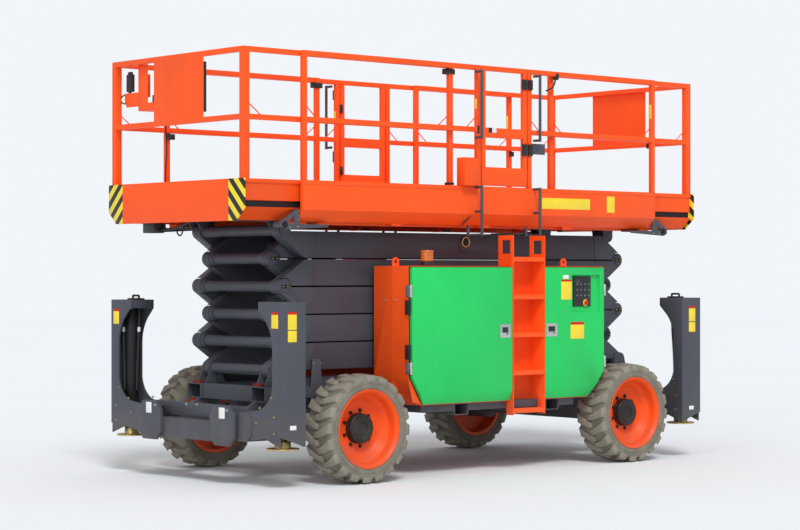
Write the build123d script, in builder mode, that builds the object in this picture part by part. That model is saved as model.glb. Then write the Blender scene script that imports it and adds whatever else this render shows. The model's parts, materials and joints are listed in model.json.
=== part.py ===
"""Rough-terrain scissor lift with four outriggers, in millimetres.

+X is forward, +Y is the left side and +Z is up. The origin is on the ground, below the middle of
the wheelbase. The lift is folded, its two sliding decks are in, its jacks are up.
"""

import math
import os

from build123d import *

os.makedirs("parts", exist_ok=True)

# Wheels and axles
WHEELBASE = 2950
WHEEL_Y = 981.5  # middle of the tyre
TYRE_RADIUS = 419
TYRE_WIDTH = 305
TREAD_DEPTH = 28
LUGS = 20  # on each side of the tread
LUG_SHOULDER = 84  # width of a lug at the tyre's shoulder
LUG_BAR = 50  # width of a lug at the middle
LUG_SWEEP = 60  # how far a lug's bar lies ahead of its shoulder end
SHOULDER = 34  # slope from tread floor to sidewall
SIDEWALL_RADIUS = 366
BEAD_RADIUS = 285  # where tyre and rim meet
BEAD_INSET = 14  # from the sidewall's plane to the rim's flange
RIM_WALL = 14
RIM_LIP = 18
DISC_RADIUS = 205
DISC_THICKNESS = 20
RIM_DROP = 66  # depth of the curve from the rim's barrel to its disc
HUB_RADIUS = 118
HUB_LENGTH = 65  # hub in front of the rim's disc
HUB_CHAMFER = 8
HUB_CAP = 25
SPINDLE_RADIUS = 40
RUNNING_CLEARANCE = 0.05  # radial, on every turning shaft
AXLE_SIZE = 150
AXLE_Z = TYRE_RADIUS
KINGPIN_Y = WHEEL_Y - 201.5
AXLE_BEAM_END = KINGPIN_Y - 80
KINGPIN_RADIUS = 28
KNUCKLE_RADIUS = 55
EAR_THICKNESS = 30
EAR_GAP = 95  # from the wheel's axis to each ear
EAR_CLEARANCE = 5
MOTOR_RADIUS = 125
MOTOR_GAP = 6  # from the motor to the rim's disc
STEERING_ARM = 190
STEERING_ARM_WIDTH = 50
STEERING_ARM_DEPTH = 24
TIE_ROD_RADIUS = 18
TIE_ROD_EYE = 28
BALL_RADIUS = 12
AXLE_SEAT = 340  # length of an axle's seat below a chassis rail
SEAT_HALF_WIDTH = 60

# Chassis
RAIL_Y = 420
RAIL_WIDTH = 180
RAIL_TOP = 730
RAIL_HEIGHT = 120
RAIL_BOTTOM = RAIL_TOP - RAIL_HEIGHT
RAIL_END = 2000
RAIL_WALL = 10
MEMBER_WIDTH = 120  # of the members that join the two rails
END_MEMBER = 70
END_MEMBER_INSET = 28
FORK_TUBE_X = (410, -610)
FORK_TUBE_WIDTH = 150
FORK_TUBE_HEIGHT = 95
FORK_TUBE_WALL = 8
CABINET_FLOOR = RAIL_BOTTOM - 40
SILL_SIZE = 60
SILL_ENDS = (-860, 840)

# Scissor stack
PIN_X = 1855  # pins stand this far from the middle when folded
ROW_0 = 850  # height of the lowest row of pins
PITCH = 216.8  # height between rows when folded
STAGES = 5
TOP_ROW = ROW_0 + STAGES * PITCH
BEAM_GAP = 12  # between stacked beams
TAPER = 200  # length over which a beam tapers to its lug
DOUBLER = 285  # length of the plate that thickens each end of an outer beam
DOUBLER_THICKNESS = 5
BOSS_RADIUS = 60
LUG_RELIEF = 66  # radius that is cut free round the other arm's lug
LUG_GAP = 2
PIN_RADIUS = 30
CAP_RADIUS = 44
CAP_THICKNESS = 14
TUBE_RADIUS = 43
TUBE_COLLAR = 54
COLLAR_LENGTH = 34
CENTRE_PIN_RADIUS = 35
BEAM_THICKNESS = 90
INNER_ARM_FACE = 340
INNER_ARM = (INNER_ARM_FACE, INNER_ARM_FACE + BEAM_THICKNESS)
OUTER_ARM = (INNER_ARM[1] + 30, INNER_ARM[1] + 130)
PIVOT_GAP = 12  # from an arm to the plate that holds its pin
PIVOT_PLATE = 24
ARM_GUIDE_X = 1560
ARM_GUIDE_TOP = ROW_0 + 90

# Lift cylinders
CYLINDER_X = -1150  # the barrel's tube
EYE_X = 1290  # the rod's eye
EYE_DROP = 140  # the rod's eye hangs this far below its tube
BARREL_RADIUS = 80
GLAND_RADIUS = 88
GLAND_LENGTH = 70
ROD_RADIUS = 45
ROD_CLEARANCE = 0.1
BARREL_END_GAP = 200  # from the barrel's mouth to the rod's eye
EYE_RADIUS = 62
EYE_WIDTH = 88
HANGER_THICKNESS = 16

# Outriggers
LEG_FRONT = RAIL_END + 321
LEG_DEPTH = 233
LEG_REAR = LEG_FRONT - LEG_DEPTH
LEG_OUTER = 1116.5
LEG_TOP = 1390
LEG_TOP_WIDTH = 264
LEG_WAIST = 104
LEG_PLATE = 14
LEG_FOOT = 316  # lowest corner of the leg
LEG_FOOT_RISE = 77  # the outer web's foot rises by this towards the machine's end
CROSS_BEAM_BOTTOM = 325
CROSS_BEAM_HEIGHT = 150
CROSS_BEAM_TOP = CROSS_BEAM_BOTTOM + CROSS_BEAM_HEIGHT
CROSS_BEAM_HALF = 470
FLANGE_HALF = 152
FLANGE_CORNER = 66
FLANGE_THICKNESS = 25
FLANGE_REACH = 69  # the end flange stands this far in front of the leg
ARM_FLANGE_HALF = 111
ARM_FLANGE_Y = 655
JACK_Y = LEG_OUTER - 124.5
JACK_X = LEG_FRONT - LEG_DEPTH / 2
JACK_RADIUS = 52
JACK_ROD_RADIUS = 34
JACK_BARREL_FOOT = 470
PAD_RADIUS = 122
PAD_BOTTOM = 292
PAD_THICKNESS = 12
PAD_HUB_RADIUS = 60
PAD_HUB_HEIGHT = 50

# Cabinets and ladders
CABINET_FRONT = 1006
CABINET_REAR = -1150
CABINET_INNER = 625
CABINET_OUTER = 1080
CABINET_TOP = 1660
SILL_Y = CABINET_OUTER - 80
CABINET_WALL = 6
DOOR_THICKNESS = 36
DOOR_GAP = 6
DOOR_BEVEL = (30, 90)  # slope along a door's bottom edge, in Y and Z
DOOR_PLANE = CABINET_OUTER - DOOR_THICKNESS
FRONT_CUT = (131, 215)  # how far the front lower corner is cut, in X and Z
REAR_CUT = (171, 215)
PANEL_RECESS = (-1095, -761, 1278, 1588)  # recess of the ground controls: x, x, z, z
PANEL_RECESS_DEPTH = 26
LADDER_FRONT = -82
LADDER_REAR = -446
LADDER_PLATE = 8
LADDER_RECESS = CABINET_OUTER - 175
LADDER_BOTTOM = 455
LADDER_TOP = CABINET_TOP + 250
LADDER_BACK_TOP = CABINET_TOP + 40
LADDER_OUTER = CABINET_OUTER + 4
STEPS = 5
STEP_PITCH = 307
STEP_FIRST = 487
STEP_THICKNESS = 35
EYE_HOLE = 14  # radius of a lifting eye's hole
LIFTING_EYE = 34
LIFTING_EYE_THICKNESS = 12
BEACON = (778, CABINET_OUTER - 80)

# Platform
DECK_TOP = TOP_ROW + 371
DECK_HALF = 915
DECK_FRONT = 1950
DECK_REAR = -1960
SKIRT_BREAK = DECK_TOP - 225
SKIRT_BOTTOM = DECK_TOP - 315
SKIRT_TUCK = 85
SKIRT_WALL = 8
FLOOR_TOP = DECK_TOP - 60
FLOOR_THICKNESS = 30
RISER_Y = DECK_HALF - 157
END_FRAME = 37  # width of the frame round each end of the skirts
END_FRAME_THICKNESS = 8
RISER_WALL = 12
LEDGE = 20  # thickness of the members below the sliding decks' beams
DECK_BEAM_HALF = 40
DECK_BEAM_DEPTH = 105
TRACK_Y = (OUTER_ARM[0] - 20, OUTER_ARM[1] + 20)
TRACK_BOTTOM = TOP_ROW + 96.5
TRACK_FROM = 200
SHOE_CLEARANCE = 0.5
SHOE_THICKNESS = 18
SHOE_HALF_LENGTH = 95
SHOE_PLATE = 12
UPPER_PIVOT_REACH = (90, 140)  # how far the upper pivot's plates reach behind and ahead of its pin
BRACKET_GAP = 6  # from the deck's end to the roller brackets
BRACKET_LENGTH = 270  # below the deck
BRACKET_NOSE = 190  # in front of the deck
BRACKET_THICKNESS = 12
ROLLER_RADIUS = 26
SLIDE_BEAM = (DECK_HALF - 85, DECK_HALF - 57)
SLIDE_LIP = 11  # how far a sliding deck's floor stands out from its beam
FLANGE_OUT = 14  # the same for the upper edge of its sloping flange
FLANGE_BOTTOM = SKIRT_BOTTOM + 8
SLIDE_FLANGE = 10  # across the flange, along Y
SLIDE_FLOOR = 32
SLOT = (SKIRT_BREAK + 15, SKIRT_BREAK + 64)  # groove along a sliding deck's beam, in Z
SLOT_DEPTH = 16
NOSE_X = 2490  # both ends of the platform
NOSE_PLATE = 12
NOSE_CORNER = (105, 93)  # cut corners of the end plate, in Y and Z
NOSE_BOTTOM = SKIRT_BOTTOM + 2
FRONT_DECK_INNER = 380
REAR_DECK_INNER = -720

# Guard rails
TUBE = 40
TUBE_PLAY = 2
CORNER_POST = 60
GUARD_HEIGHT = 978
GUARD_TOP = DECK_TOP + GUARD_HEIGHT
GUARD_MIDDLE = GUARD_TOP - 500
GATE_FRONT = 110
GATE_REAR = -410
GATE_POST_GAP = 8
GATE_GAP = 6
TOE_PLATE = 150
SIGN_PANEL = (-287, 367)  # plain panel at the front, in Y
REAR_PANEL = (-330, 330)
HANDLE_RADIUS = 12
FOOT_RADIUS = 10.5
HANDLE_Y = DECK_HALF + 75
HANDLE_OFFSET = 68  # from a gate's post
CABLE_RADIUS = 6


def save(part, name):
    """Label a finished piece and write its STEP file."""
    part.label = name
    export_step(part, f"parts/{name}.step")


def block(x_from, x_to, y_from, y_to, z_from, z_to, mode=Mode.ADD):
    """Add a block between two corners."""
    middle = ((x_from + x_to) / 2, (y_from + y_to) / 2, (z_from + z_to) / 2)
    with Locations(middle):
        Box(abs(x_to - x_from), abs(y_to - y_from), abs(z_to - z_from), mode=mode)


def side_plate(points, y_from, y_to, mode=Mode.ADD):
    """Extrude an outline of X and Z from one Y to another."""
    with BuildSketch(Plane.XZ.offset(-y_from)) as outline:
        with BuildLine():
            Polyline(*points, close=True)
        make_face()
    extrude(outline.sketch, amount=-(y_to - y_from), mode=mode)


def cross_plate(points, x_from, x_to, mode=Mode.ADD):
    """Extrude an outline of Y and Z from one X to another."""
    with BuildSketch(Plane.YZ.offset(x_from)) as outline:
        with BuildLine():
            Polyline(*points, close=True)
        make_face()
    extrude(outline.sketch, amount=x_to - x_from, mode=mode)


def pin_along_y(x, z, radius, y_from, y_to, mode=Mode.ADD):
    """Add a round bar along Y."""
    with BuildSketch(Plane.XZ.offset(-y_from)) as disc:
        with Locations((x, z)):
            Circle(radius)
    extrude(disc.sketch, amount=-(y_to - y_from), mode=mode)


def pin_along_z(x, y, radius, z_from, z_to, mode=Mode.ADD):
    """Add a round bar along Z."""
    with BuildSketch(Plane.XY.offset(z_from)) as disc:
        with Locations((x, y)):
            Circle(radius)
    extrude(disc.sketch, amount=z_to - z_from, mode=mode)


# ---------------------------------------------------------------- wheels
TYRE_HALF = TYRE_WIDTH / 2
BEAD_Y = TYRE_HALF - BEAD_INSET
BEAD_SLACK = 0.3
BORE_SIDES = 8


LUG_ROOT = SIDEWALL_RADIUS + 4
CROWN_REACH = math.sqrt(TYRE_RADIUS**2 - ((LUG_SHOULDER + LUG_SWEEP) / 2) ** 2)


def lug_planes(first_turn):
    """The planes that carry the feet of one ring of lugs, evenly round the tyre."""
    planes = []
    for index in range(LUGS):
        turn = first_turn + 2 * math.pi * index / LUGS
        radial = (math.cos(turn), 0, math.sin(turn))
        foot = (LUG_ROOT * radial[0], 0, LUG_ROOT * radial[2])
        planes.append(Plane(origin=foot, x_dir=(-radial[2], 0, radial[0]), z_dir=radial))
    return planes


def add_lugs(lug_side, first_turn):
    """One ring of lugs: each runs from the middle of the tread and sweeps back to its shoulder."""
    ahead = LUG_SWEEP / 2
    out = -lug_side
    with BuildSketch(*lug_planes(first_turn)) as lugs:
        with BuildLine():
            Polyline(
                (ahead - LUG_BAR / 2, -out * LUG_BAR / 4),
                (ahead + LUG_BAR / 2, -out * LUG_BAR / 4),
                (LUG_SHOULDER / 2 - ahead, out * TYRE_HALF),
                (-LUG_SHOULDER / 2 - ahead, out * TYRE_HALF),
                close=True,
            )
        make_face()
    extrude(lugs.sketch, amount=CROWN_REACH - LUG_ROOT)


def tyre_face(offset):
    """The plane across the tyre's axis, this far outboard of its middle."""
    return Plane(origin=(0, offset, 0), x_dir=(1, 0, 0), z_dir=(0, 1, 0))


def make_tyre():
    """Tyre about the origin, with flat sides and a ring of lugs on each half of its tread."""
    floor = TYRE_RADIUS - TREAD_DEPTH
    # columns: distance from the tyre's middle, radius
    sections = (
        (-TYRE_HALF, SIDEWALL_RADIUS), (SHOULDER - TYRE_HALF, floor),
        (TYRE_HALF - SHOULDER, floor), (TYRE_HALF, SIDEWALL_RADIUS),
    )
    with BuildPart() as tyre:
        for offset, radius in sections:
            with BuildSketch(tyre_face(offset)):
                RegularPolygon(radius, LUGS)
        loft(ruled=True)
        add_lugs(1, 0)
        add_lugs(-1, math.pi / LUGS)
        with BuildSketch(tyre_face(-TYRE_HALF)) as hole:
            RegularPolygon(BEAD_RADIUS + BEAD_SLACK, BORE_SIDES, major_radius=False)
        extrude(hole.sketch, amount=TYRE_WIDTH, mode=Mode.SUBTRACT)
        for face_y in (-TYRE_HALF, BEAD_Y):
            with BuildSketch(tyre_face(face_y)) as flange_room:
                RegularPolygon(BEAD_RADIUS + RIM_LIP + BEAD_SLACK, BORE_SIDES, major_radius=False)
            extrude(flange_room.sketch, amount=BEAD_INSET, mode=Mode.SUBTRACT)
    return tyre.part


def make_rim():
    """Deep rim about the origin: flanges, a drop from the outer flange to the disc, and the hub."""
    lip = BEAD_Y + BEAD_INSET * 0.7
    inner = BEAD_RADIUS - RIM_WALL
    bore = SPINDLE_RADIUS + RUNNING_CLEARANCE
    with BuildPart() as rim:
        with BuildSketch():
            with BuildLine():
                Polyline(
                    (bore, -DISC_THICKNESS),
                    (inner, -DISC_THICKNESS),
                    (inner, -lip),
                    (BEAD_RADIUS + RIM_LIP, -lip),
                    (BEAD_RADIUS + RIM_LIP, -BEAD_Y),
                    (BEAD_RADIUS, -BEAD_Y),
                    (BEAD_RADIUS, BEAD_Y),
                    (BEAD_RADIUS + RIM_LIP, BEAD_Y),
                    (BEAD_RADIUS + RIM_LIP, lip),
                    (BEAD_RADIUS + RIM_LIP - 6, lip),
                    (BEAD_RADIUS - 4, BEAD_Y + 1),
                    (inner, BEAD_Y - RIM_WALL),
                    (inner, RIM_DROP),
                    (DISC_RADIUS, 0),
                    (HUB_RADIUS, 0),
                    (HUB_RADIUS, HUB_LENGTH - HUB_CHAMFER),
                    (HUB_RADIUS - HUB_CHAMFER, HUB_LENGTH),
                    (0, HUB_LENGTH),
                    (0, HUB_LENGTH - HUB_CAP),
                    (bore, HUB_LENGTH - HUB_CAP),
                    close=True,
                )
            make_face()
        revolve(axis=Axis.Y)
    return rim.part


TYRE = make_tyre()
RIM = make_rim()
FRONT_AXLE_X = WHEELBASE / 2
REAR_AXLE_X = -WHEELBASE / 2
for end, wheel_x in (("front", FRONT_AXLE_X), ("rear", REAR_AXLE_X)):
    for hand, side in (("left", 1), ("right", -1)):
        turn = 0 if side == 1 else 180
        place = Pos(wheel_x, side * WHEEL_Y, AXLE_Z) * Rot(0, 0, turn)
        save(place * TYRE, f"tyre_{end}_{hand}")
        save(place * RIM, f"rim_{end}_{hand}")

# ---------------------------------------------------------------- axles and steering
MOTOR_END = WHEEL_Y - DISC_THICKNESS - MOTOR_GAP
SPINDLE_END = WHEEL_Y + HUB_LENGTH - HUB_CAP - 5


def add_axle_beam(x):
    """Half of an axle's beam with its seat below the chassis rail."""
    half = AXLE_SIZE / 2
    block(x - half, x + half, 0, AXLE_BEAM_END, AXLE_Z - half, AXLE_Z + half)
    side_plate(
        ((x - AXLE_SEAT / 2, RAIL_BOTTOM), (x + AXLE_SEAT / 2, RAIL_BOTTOM),
         (x + half, AXLE_Z), (x - half, AXLE_Z)),
        RAIL_Y - SEAT_HALF_WIDTH, RAIL_Y + SEAT_HALF_WIDTH,
    )


with BuildPart() as rear_axle:
    add_axle_beam(REAR_AXLE_X)
    pin_along_y(REAR_AXLE_X, AXLE_Z, MOTOR_RADIUS, AXLE_BEAM_END - AXLE_SIZE / 4, MOTOR_END)
    pin_along_y(REAR_AXLE_X, AXLE_Z, SPINDLE_RADIUS, MOTOR_END, SPINDLE_END)
    mirror(about=Plane.XZ)
save(rear_axle.part, "rear_axle")

with BuildPart() as front_axle:
    add_axle_beam(FRONT_AXLE_X)
    for ear_side in (-1, 1):
        ear_from = AXLE_Z + ear_side * EAR_GAP
        ear_to = ear_from + ear_side * EAR_THICKNESS
        ear_root = AXLE_Z + ear_side * (AXLE_SIZE / 2 - EAR_CLEARANCE)
        root_y = AXLE_BEAM_END - SEAT_HALF_WIDTH
        block(FRONT_AXLE_X - KNUCKLE_RADIUS, FRONT_AXLE_X + KNUCKLE_RADIUS, root_y, KINGPIN_Y,
              ear_from, ear_to)
        pin_along_z(FRONT_AXLE_X, KINGPIN_Y, KNUCKLE_RADIUS, min(ear_from, ear_to), max(ear_from, ear_to))
        block(FRONT_AXLE_X - KNUCKLE_RADIUS, FRONT_AXLE_X + KNUCKLE_RADIUS, root_y, AXLE_BEAM_END,
              ear_root, ear_to)
    pin_along_z(FRONT_AXLE_X, KINGPIN_Y, KINGPIN_RADIUS + RUNNING_CLEARANCE,
                AXLE_Z - 2 * EAR_GAP, AXLE_Z + 2 * EAR_GAP, mode=Mode.SUBTRACT)
    mirror(about=Plane.XZ)
save(front_axle.part, "front_axle")

KNUCKLE_HALF = EAR_GAP - EAR_CLEARANCE
BALL_X = FRONT_AXLE_X - STEERING_ARM
for hand, side in (("left", 1), ("right", -1)):
    with BuildPart() as knuckle:
        kingpin_y = side * KINGPIN_Y
        flange_y = KINGPIN_Y + KNUCKLE_RADIUS + EAR_CLEARANCE
        pin_along_z(FRONT_AXLE_X, kingpin_y, KNUCKLE_RADIUS, AXLE_Z - KNUCKLE_HALF, AXLE_Z + KNUCKLE_HALF)
        pin_along_z(FRONT_AXLE_X, kingpin_y, KINGPIN_RADIUS,
                    AXLE_Z - EAR_GAP - EAR_THICKNESS, AXLE_Z + EAR_GAP + EAR_THICKNESS)
        pin_along_y(FRONT_AXLE_X, AXLE_Z, KNUCKLE_HALF * 0.9, kingpin_y, side * flange_y)
        pin_along_y(FRONT_AXLE_X, AXLE_Z, MOTOR_RADIUS, side * flange_y, side * MOTOR_END)
        pin_along_y(FRONT_AXLE_X, AXLE_Z, SPINDLE_RADIUS, side * MOTOR_END, side * SPINDLE_END)
        arm_bottom = AXLE_Z - KNUCKLE_HALF
        arm_top = arm_bottom + STEERING_ARM_DEPTH
        arm_half = STEERING_ARM_WIDTH / 2
        block(BALL_X, FRONT_AXLE_X, kingpin_y - arm_half, kingpin_y + arm_half, arm_bottom, arm_top)
        pin_along_z(BALL_X, kingpin_y, arm_half, arm_bottom, arm_top)
        pin_along_z(BALL_X, kingpin_y, BALL_RADIUS, arm_bottom - 2.2 * TIE_ROD_RADIUS, arm_bottom)
    save(knuckle.part, f"knuckle_{hand}")

with BuildPart() as tie_rod:
    rod_z = AXLE_Z - KNUCKLE_HALF - TIE_ROD_RADIUS - 4
    eye_half = TIE_ROD_RADIUS - 1
    rod_half = KINGPIN_Y - TIE_ROD_EYE / 2 - 1
    pin_along_y(BALL_X, rod_z, TIE_ROD_RADIUS, -rod_half, rod_half)
    for side in (-1, 1):
        pin_along_z(BALL_X, side * KINGPIN_Y, TIE_ROD_EYE, rod_z - eye_half, rod_z + eye_half)
        pin_along_z(BALL_X, side * KINGPIN_Y, BALL_RADIUS + RUNNING_CLEARANCE,
                    rod_z - TIE_ROD_EYE, rod_z + TIE_ROD_EYE, mode=Mode.SUBTRACT)
save(tie_rod.part, "tie_rod")

# ---------------------------------------------------------------- chassis
RAIL_INNER = RAIL_Y - RAIL_WIDTH / 2
RAIL_OUTER = RAIL_Y + RAIL_WIDTH / 2
PIVOT_IN = OUTER_ARM[1] + PIVOT_GAP
PIVOT_OUT = PIVOT_IN + PIVOT_PLATE
MEMBERS_X = (FRONT_AXLE_X * 0.65, 0, REAR_AXLE_X * 0.65)

with BuildPart() as chassis_frame:
    block(-RAIL_END, RAIL_END, RAIL_INNER, RAIL_OUTER, RAIL_BOTTOM, RAIL_TOP)
    block(-RAIL_END, RAIL_END, RAIL_INNER + RAIL_WALL, RAIL_OUTER - RAIL_WALL,
          RAIL_BOTTOM + RAIL_WALL, RAIL_TOP - RAIL_WALL, mode=Mode.SUBTRACT)
    for member_x in MEMBERS_X:
        block(member_x - MEMBER_WIDTH / 2, member_x + MEMBER_WIDTH / 2, 0, RAIL_INNER, RAIL_BOTTOM, RAIL_TOP)
    # seats of the fork tubes
    for tube_x in FORK_TUBE_X:
        block(tube_x - FORK_TUBE_WIDTH / 2, tube_x + FORK_TUBE_WIDTH / 2, RAIL_INNER, RAIL_OUTER,
              CABINET_FLOOR, RAIL_BOTTOM)
    # bracket that carries the rear lower pivot of the scissor stack
    block(-PIN_X - 100, -PIN_X + 100, RAIL_OUTER, PIVOT_OUT, RAIL_BOTTOM, RAIL_TOP)
    side_plate(
        ((-PIN_X - 100, RAIL_TOP), (-PIN_X + 100, RAIL_TOP),
         (-PIN_X + BOSS_RADIUS, ROW_0), (-PIN_X - BOSS_RADIUS, ROW_0)),
        PIVOT_IN, PIVOT_OUT,
    )
    pin_along_y(-PIN_X, ROW_0, BOSS_RADIUS, PIVOT_IN, PIVOT_OUT)
    pin_along_y(-PIN_X, ROW_0, PIN_RADIUS + RUNNING_CLEARANCE, PIVOT_IN, PIVOT_OUT, mode=Mode.SUBTRACT)
    # guide plate outside the lowest beams
    guide_in = PIVOT_IN + PIVOT_GAP
    block(ARM_GUIDE_X - 60, ARM_GUIDE_X + 60, RAIL_OUTER, guide_in + RAIL_WALL,
          RAIL_BOTTOM + 30, RAIL_TOP - 10)
    side_plate(
        ((ARM_GUIDE_X - 60, RAIL_BOTTOM + 30), (ARM_GUIDE_X + 60, RAIL_BOTTOM + 30),
         (ARM_GUIDE_X + 40, ARM_GUIDE_TOP), (ARM_GUIDE_X - 40, ARM_GUIDE_TOP)),
        guide_in, guide_in + RAIL_WALL,
    )
    for end in (-1, 1):
        block(end * (RAIL_END - END_MEMBER - END_MEMBER_INSET), end * (RAIL_END - END_MEMBER_INSET),
              0, RAIL_INNER, RAIL_BOTTOM, RAIL_TOP)
        # necks that carry the outrigger beam from the rails, and that beam
        neck_end = LEG_FRONT - 60
        side_plate(
            ((end * (RAIL_END - 240), RAIL_BOTTOM), (end * RAIL_END, RAIL_BOTTOM),
             (end * neck_end, CROSS_BEAM_TOP), (end * neck_end, CROSS_BEAM_BOTTOM),
             (end * (LEG_REAR - 48), CROSS_BEAM_BOTTOM)),
            RAIL_INNER + 20, RAIL_INNER + 60,
        )
        block(end * (LEG_REAR + 43), end * (LEG_FRONT + FLANGE_REACH - FLANGE_THICKNESS),
              0, CROSS_BEAM_HALF, CROSS_BEAM_BOTTOM, CROSS_BEAM_TOP)
    mirror(about=Plane.XZ)
save(chassis_frame.part, "chassis_frame")

with BuildPart() as fork_tubes:
    tube_bottom = CABINET_FLOOR - FORK_TUBE_HEIGHT
    for tube_x in FORK_TUBE_X:
        block(tube_x - FORK_TUBE_WIDTH / 2, tube_x + FORK_TUBE_WIDTH / 2, -SILL_Y, SILL_Y,
              tube_bottom, CABINET_FLOOR)
    for side in (-1, 1):
        block(SILL_ENDS[0], SILL_ENDS[1], side * SILL_Y, side * (SILL_Y - SILL_SIZE),
              CABINET_FLOOR - SILL_SIZE, CABINET_FLOOR)
    for tube_x in FORK_TUBE_X:
        inner_half = FORK_TUBE_WIDTH / 2 - FORK_TUBE_WALL
        block(tube_x - inner_half, tube_x + inner_half, -SILL_Y, SILL_Y,
              tube_bottom + FORK_TUBE_WALL, CABINET_FLOOR - FORK_TUBE_WALL, mode=Mode.SUBTRACT)
save(fork_tubes.part, "fork_tubes")

# ---------------------------------------------------------------- outriggers
LEG_INNER_TOP = LEG_OUTER - LEG_TOP_WIDTH
LEG_WAIST_Y = LEG_OUTER - LEG_WAIST


def octagon(centre_y, centre_z, half, corner):
    """Outline of a square plate with cut corners, as Y and Z."""
    near = half - corner
    turns = ((half, near), (near, half), (-near, half), (-half, near),
             (-half, -near), (-near, -half), (near, -half), (half, -near))
    return [(centre_y + along, centre_z + up) for along, up in turns]


def leg_cheek(side):
    """Outline of a leg's cheek: a column that waists in between two sweeping arcs."""
    arm_top = CROSS_BEAM_TOP + 85
    arm_bottom = CROSS_BEAM_BOTTOM + 15
    with BuildLine() as outline:
        Polyline(
            (side * LEG_WAIST_Y, LEG_TOP - 354), (side * LEG_WAIST_Y, CROSS_BEAM_TOP + 285),
        )
        ThreePointArc(
            (side * LEG_WAIST_Y, CROSS_BEAM_TOP + 285), (side * (LEG_WAIST_Y - 58), CROSS_BEAM_TOP + 170),
            (side * (LEG_WAIST_Y - 190), arm_top + 20),
        )
        Polyline(
            (side * (LEG_WAIST_Y - 190), arm_top + 20), (side * ARM_FLANGE_Y, arm_top),
            (side * CROSS_BEAM_HALF, arm_top), (side * CROSS_BEAM_HALF, arm_bottom),
            (side * ARM_FLANGE_Y, arm_bottom), (side * (LEG_WAIST_Y - 80), LEG_FOOT + 58),
            (side * (LEG_OUTER - LEG_PLATE), LEG_FOOT), (side * (LEG_OUTER - LEG_PLATE), LEG_TOP),
            (side * LEG_INNER_TOP, LEG_TOP), (side * LEG_INNER_TOP, LEG_TOP - 68),
            (side * (LEG_INNER_TOP + 50), LEG_TOP - 118),
        )
        ThreePointArc(
            (side * (LEG_INNER_TOP + 50), LEG_TOP - 118), (side * (LEG_WAIST_Y - 32), LEG_TOP - 216),
            (side * LEG_WAIST_Y, LEG_TOP - 354),
        )
    return outline.line


def add_leg(end, side):
    """Channel leg, open inboard, with its arm and its flange on the cross beam."""
    for cheek_x in (LEG_FRONT - LEG_PLATE, LEG_REAR):
        with BuildSketch(Plane.YZ.offset(end * cheek_x)) as cheek:
            make_face(leg_cheek(side).edges())
        extrude(cheek.sketch, amount=end * LEG_PLATE)
    # outer web, whose foot rises towards the machine's end
    side_plate(
        ((end * LEG_REAR, LEG_FOOT), (end * LEG_REAR, LEG_TOP), (end * LEG_FRONT, LEG_TOP),
         (end * LEG_FRONT, LEG_FOOT + LEG_FOOT_RISE)),
        side * (LEG_OUTER - LEG_PLATE), side * LEG_OUTER,
    )
    block(end * LEG_REAR, end * LEG_FRONT, side * LEG_INNER_TOP, side * LEG_OUTER,
          LEG_TOP - LEG_PLATE, LEG_TOP)
    # top and bottom of the arm's box
    arm_end = CROSS_BEAM_HALF + 230
    arm_top = CROSS_BEAM_TOP + 85
    block(end * LEG_REAR, end * LEG_FRONT, side * CROSS_BEAM_HALF, side * arm_end,
          CROSS_BEAM_BOTTOM + 15, CROSS_BEAM_BOTTOM + 25)
    block(end * LEG_REAR, end * LEG_FRONT, side * CROSS_BEAM_HALF, side * (arm_end - 60),
          arm_top - 10, arm_top)
    flange_z = (CROSS_BEAM_BOTTOM + CROSS_BEAM_TOP) / 2 + 52
    flange_x = LEG_FRONT + FLANGE_REACH
    cross_plate(octagon(side * (CROSS_BEAM_HALF + 8), flange_z, FLANGE_HALF, FLANGE_CORNER),
                end * (flange_x - FLANGE_THICKNESS), end * flange_x)
    cross_plate(octagon(side * ARM_FLANGE_Y, flange_z, ARM_FLANGE_HALF, FLANGE_CORNER * 0.7),
                end * LEG_FRONT, end * (LEG_FRONT + LEG_PLATE))
    block(end * LEG_FRONT, end * (flange_x - FLANGE_THICKNESS), side * CROSS_BEAM_HALF,
          side * (CROSS_BEAM_HALF + 120), flange_z - 105, flange_z + 105)


with BuildPart() as outrigger_legs:
    for end in (-1, 1):
        for side in (-1, 1):
            add_leg(end, side)
save(outrigger_legs.part, "outrigger_legs")

with BuildPart() as jack_barrels:
    for end in (-1, 1):
        for side in (-1, 1):
            pin_along_z(end * JACK_X, side * JACK_Y, JACK_RADIUS, JACK_BARREL_FOOT, LEG_TOP - LEG_PLATE)
            pin_along_z(end * JACK_X, side * JACK_Y, JACK_ROD_RADIUS + ROD_CLEARANCE,
                        JACK_BARREL_FOOT, LEG_TOP - 50, mode=Mode.SUBTRACT)
save(jack_barrels.part, "jack_barrels")

for end_name, end in (("front", 1), ("rear", -1)):
    for hand, side in (("left", 1), ("right", -1)):
        with BuildPart() as jack:
            pad_top = PAD_BOTTOM + PAD_THICKNESS
            pin_along_z(end * JACK_X, side * JACK_Y, JACK_ROD_RADIUS, pad_top, LEG_TOP - 90)
            pin_along_z(end * JACK_X, side * JACK_Y, PAD_RADIUS, PAD_BOTTOM, pad_top)
            pin_along_z(end * JACK_X, side * JACK_Y, PAD_HUB_RADIUS, pad_top, pad_top + PAD_HUB_HEIGHT)
        save(jack.part, f"jack_{end_name}_{hand}")

# ---------------------------------------------------------------- cabinets, ladders, beacon
ROOM_FLOOR = CABINET_FLOOR + CABINET_WALL
ROOM_TOP = CABINET_TOP - CABINET_WALL
GUTTER_FROM = DOOR_PLANE - DOOR_GAP
EYES_X = (CABINET_FRONT - LIFTING_EYE, CABINET_REAR + 7.5 * LIFTING_EYE)
EYE_Y = CABINET_INNER + 215
RIB_TUCK = 4
RIB_REACH = 48
RIB_FOOT = 30


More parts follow.
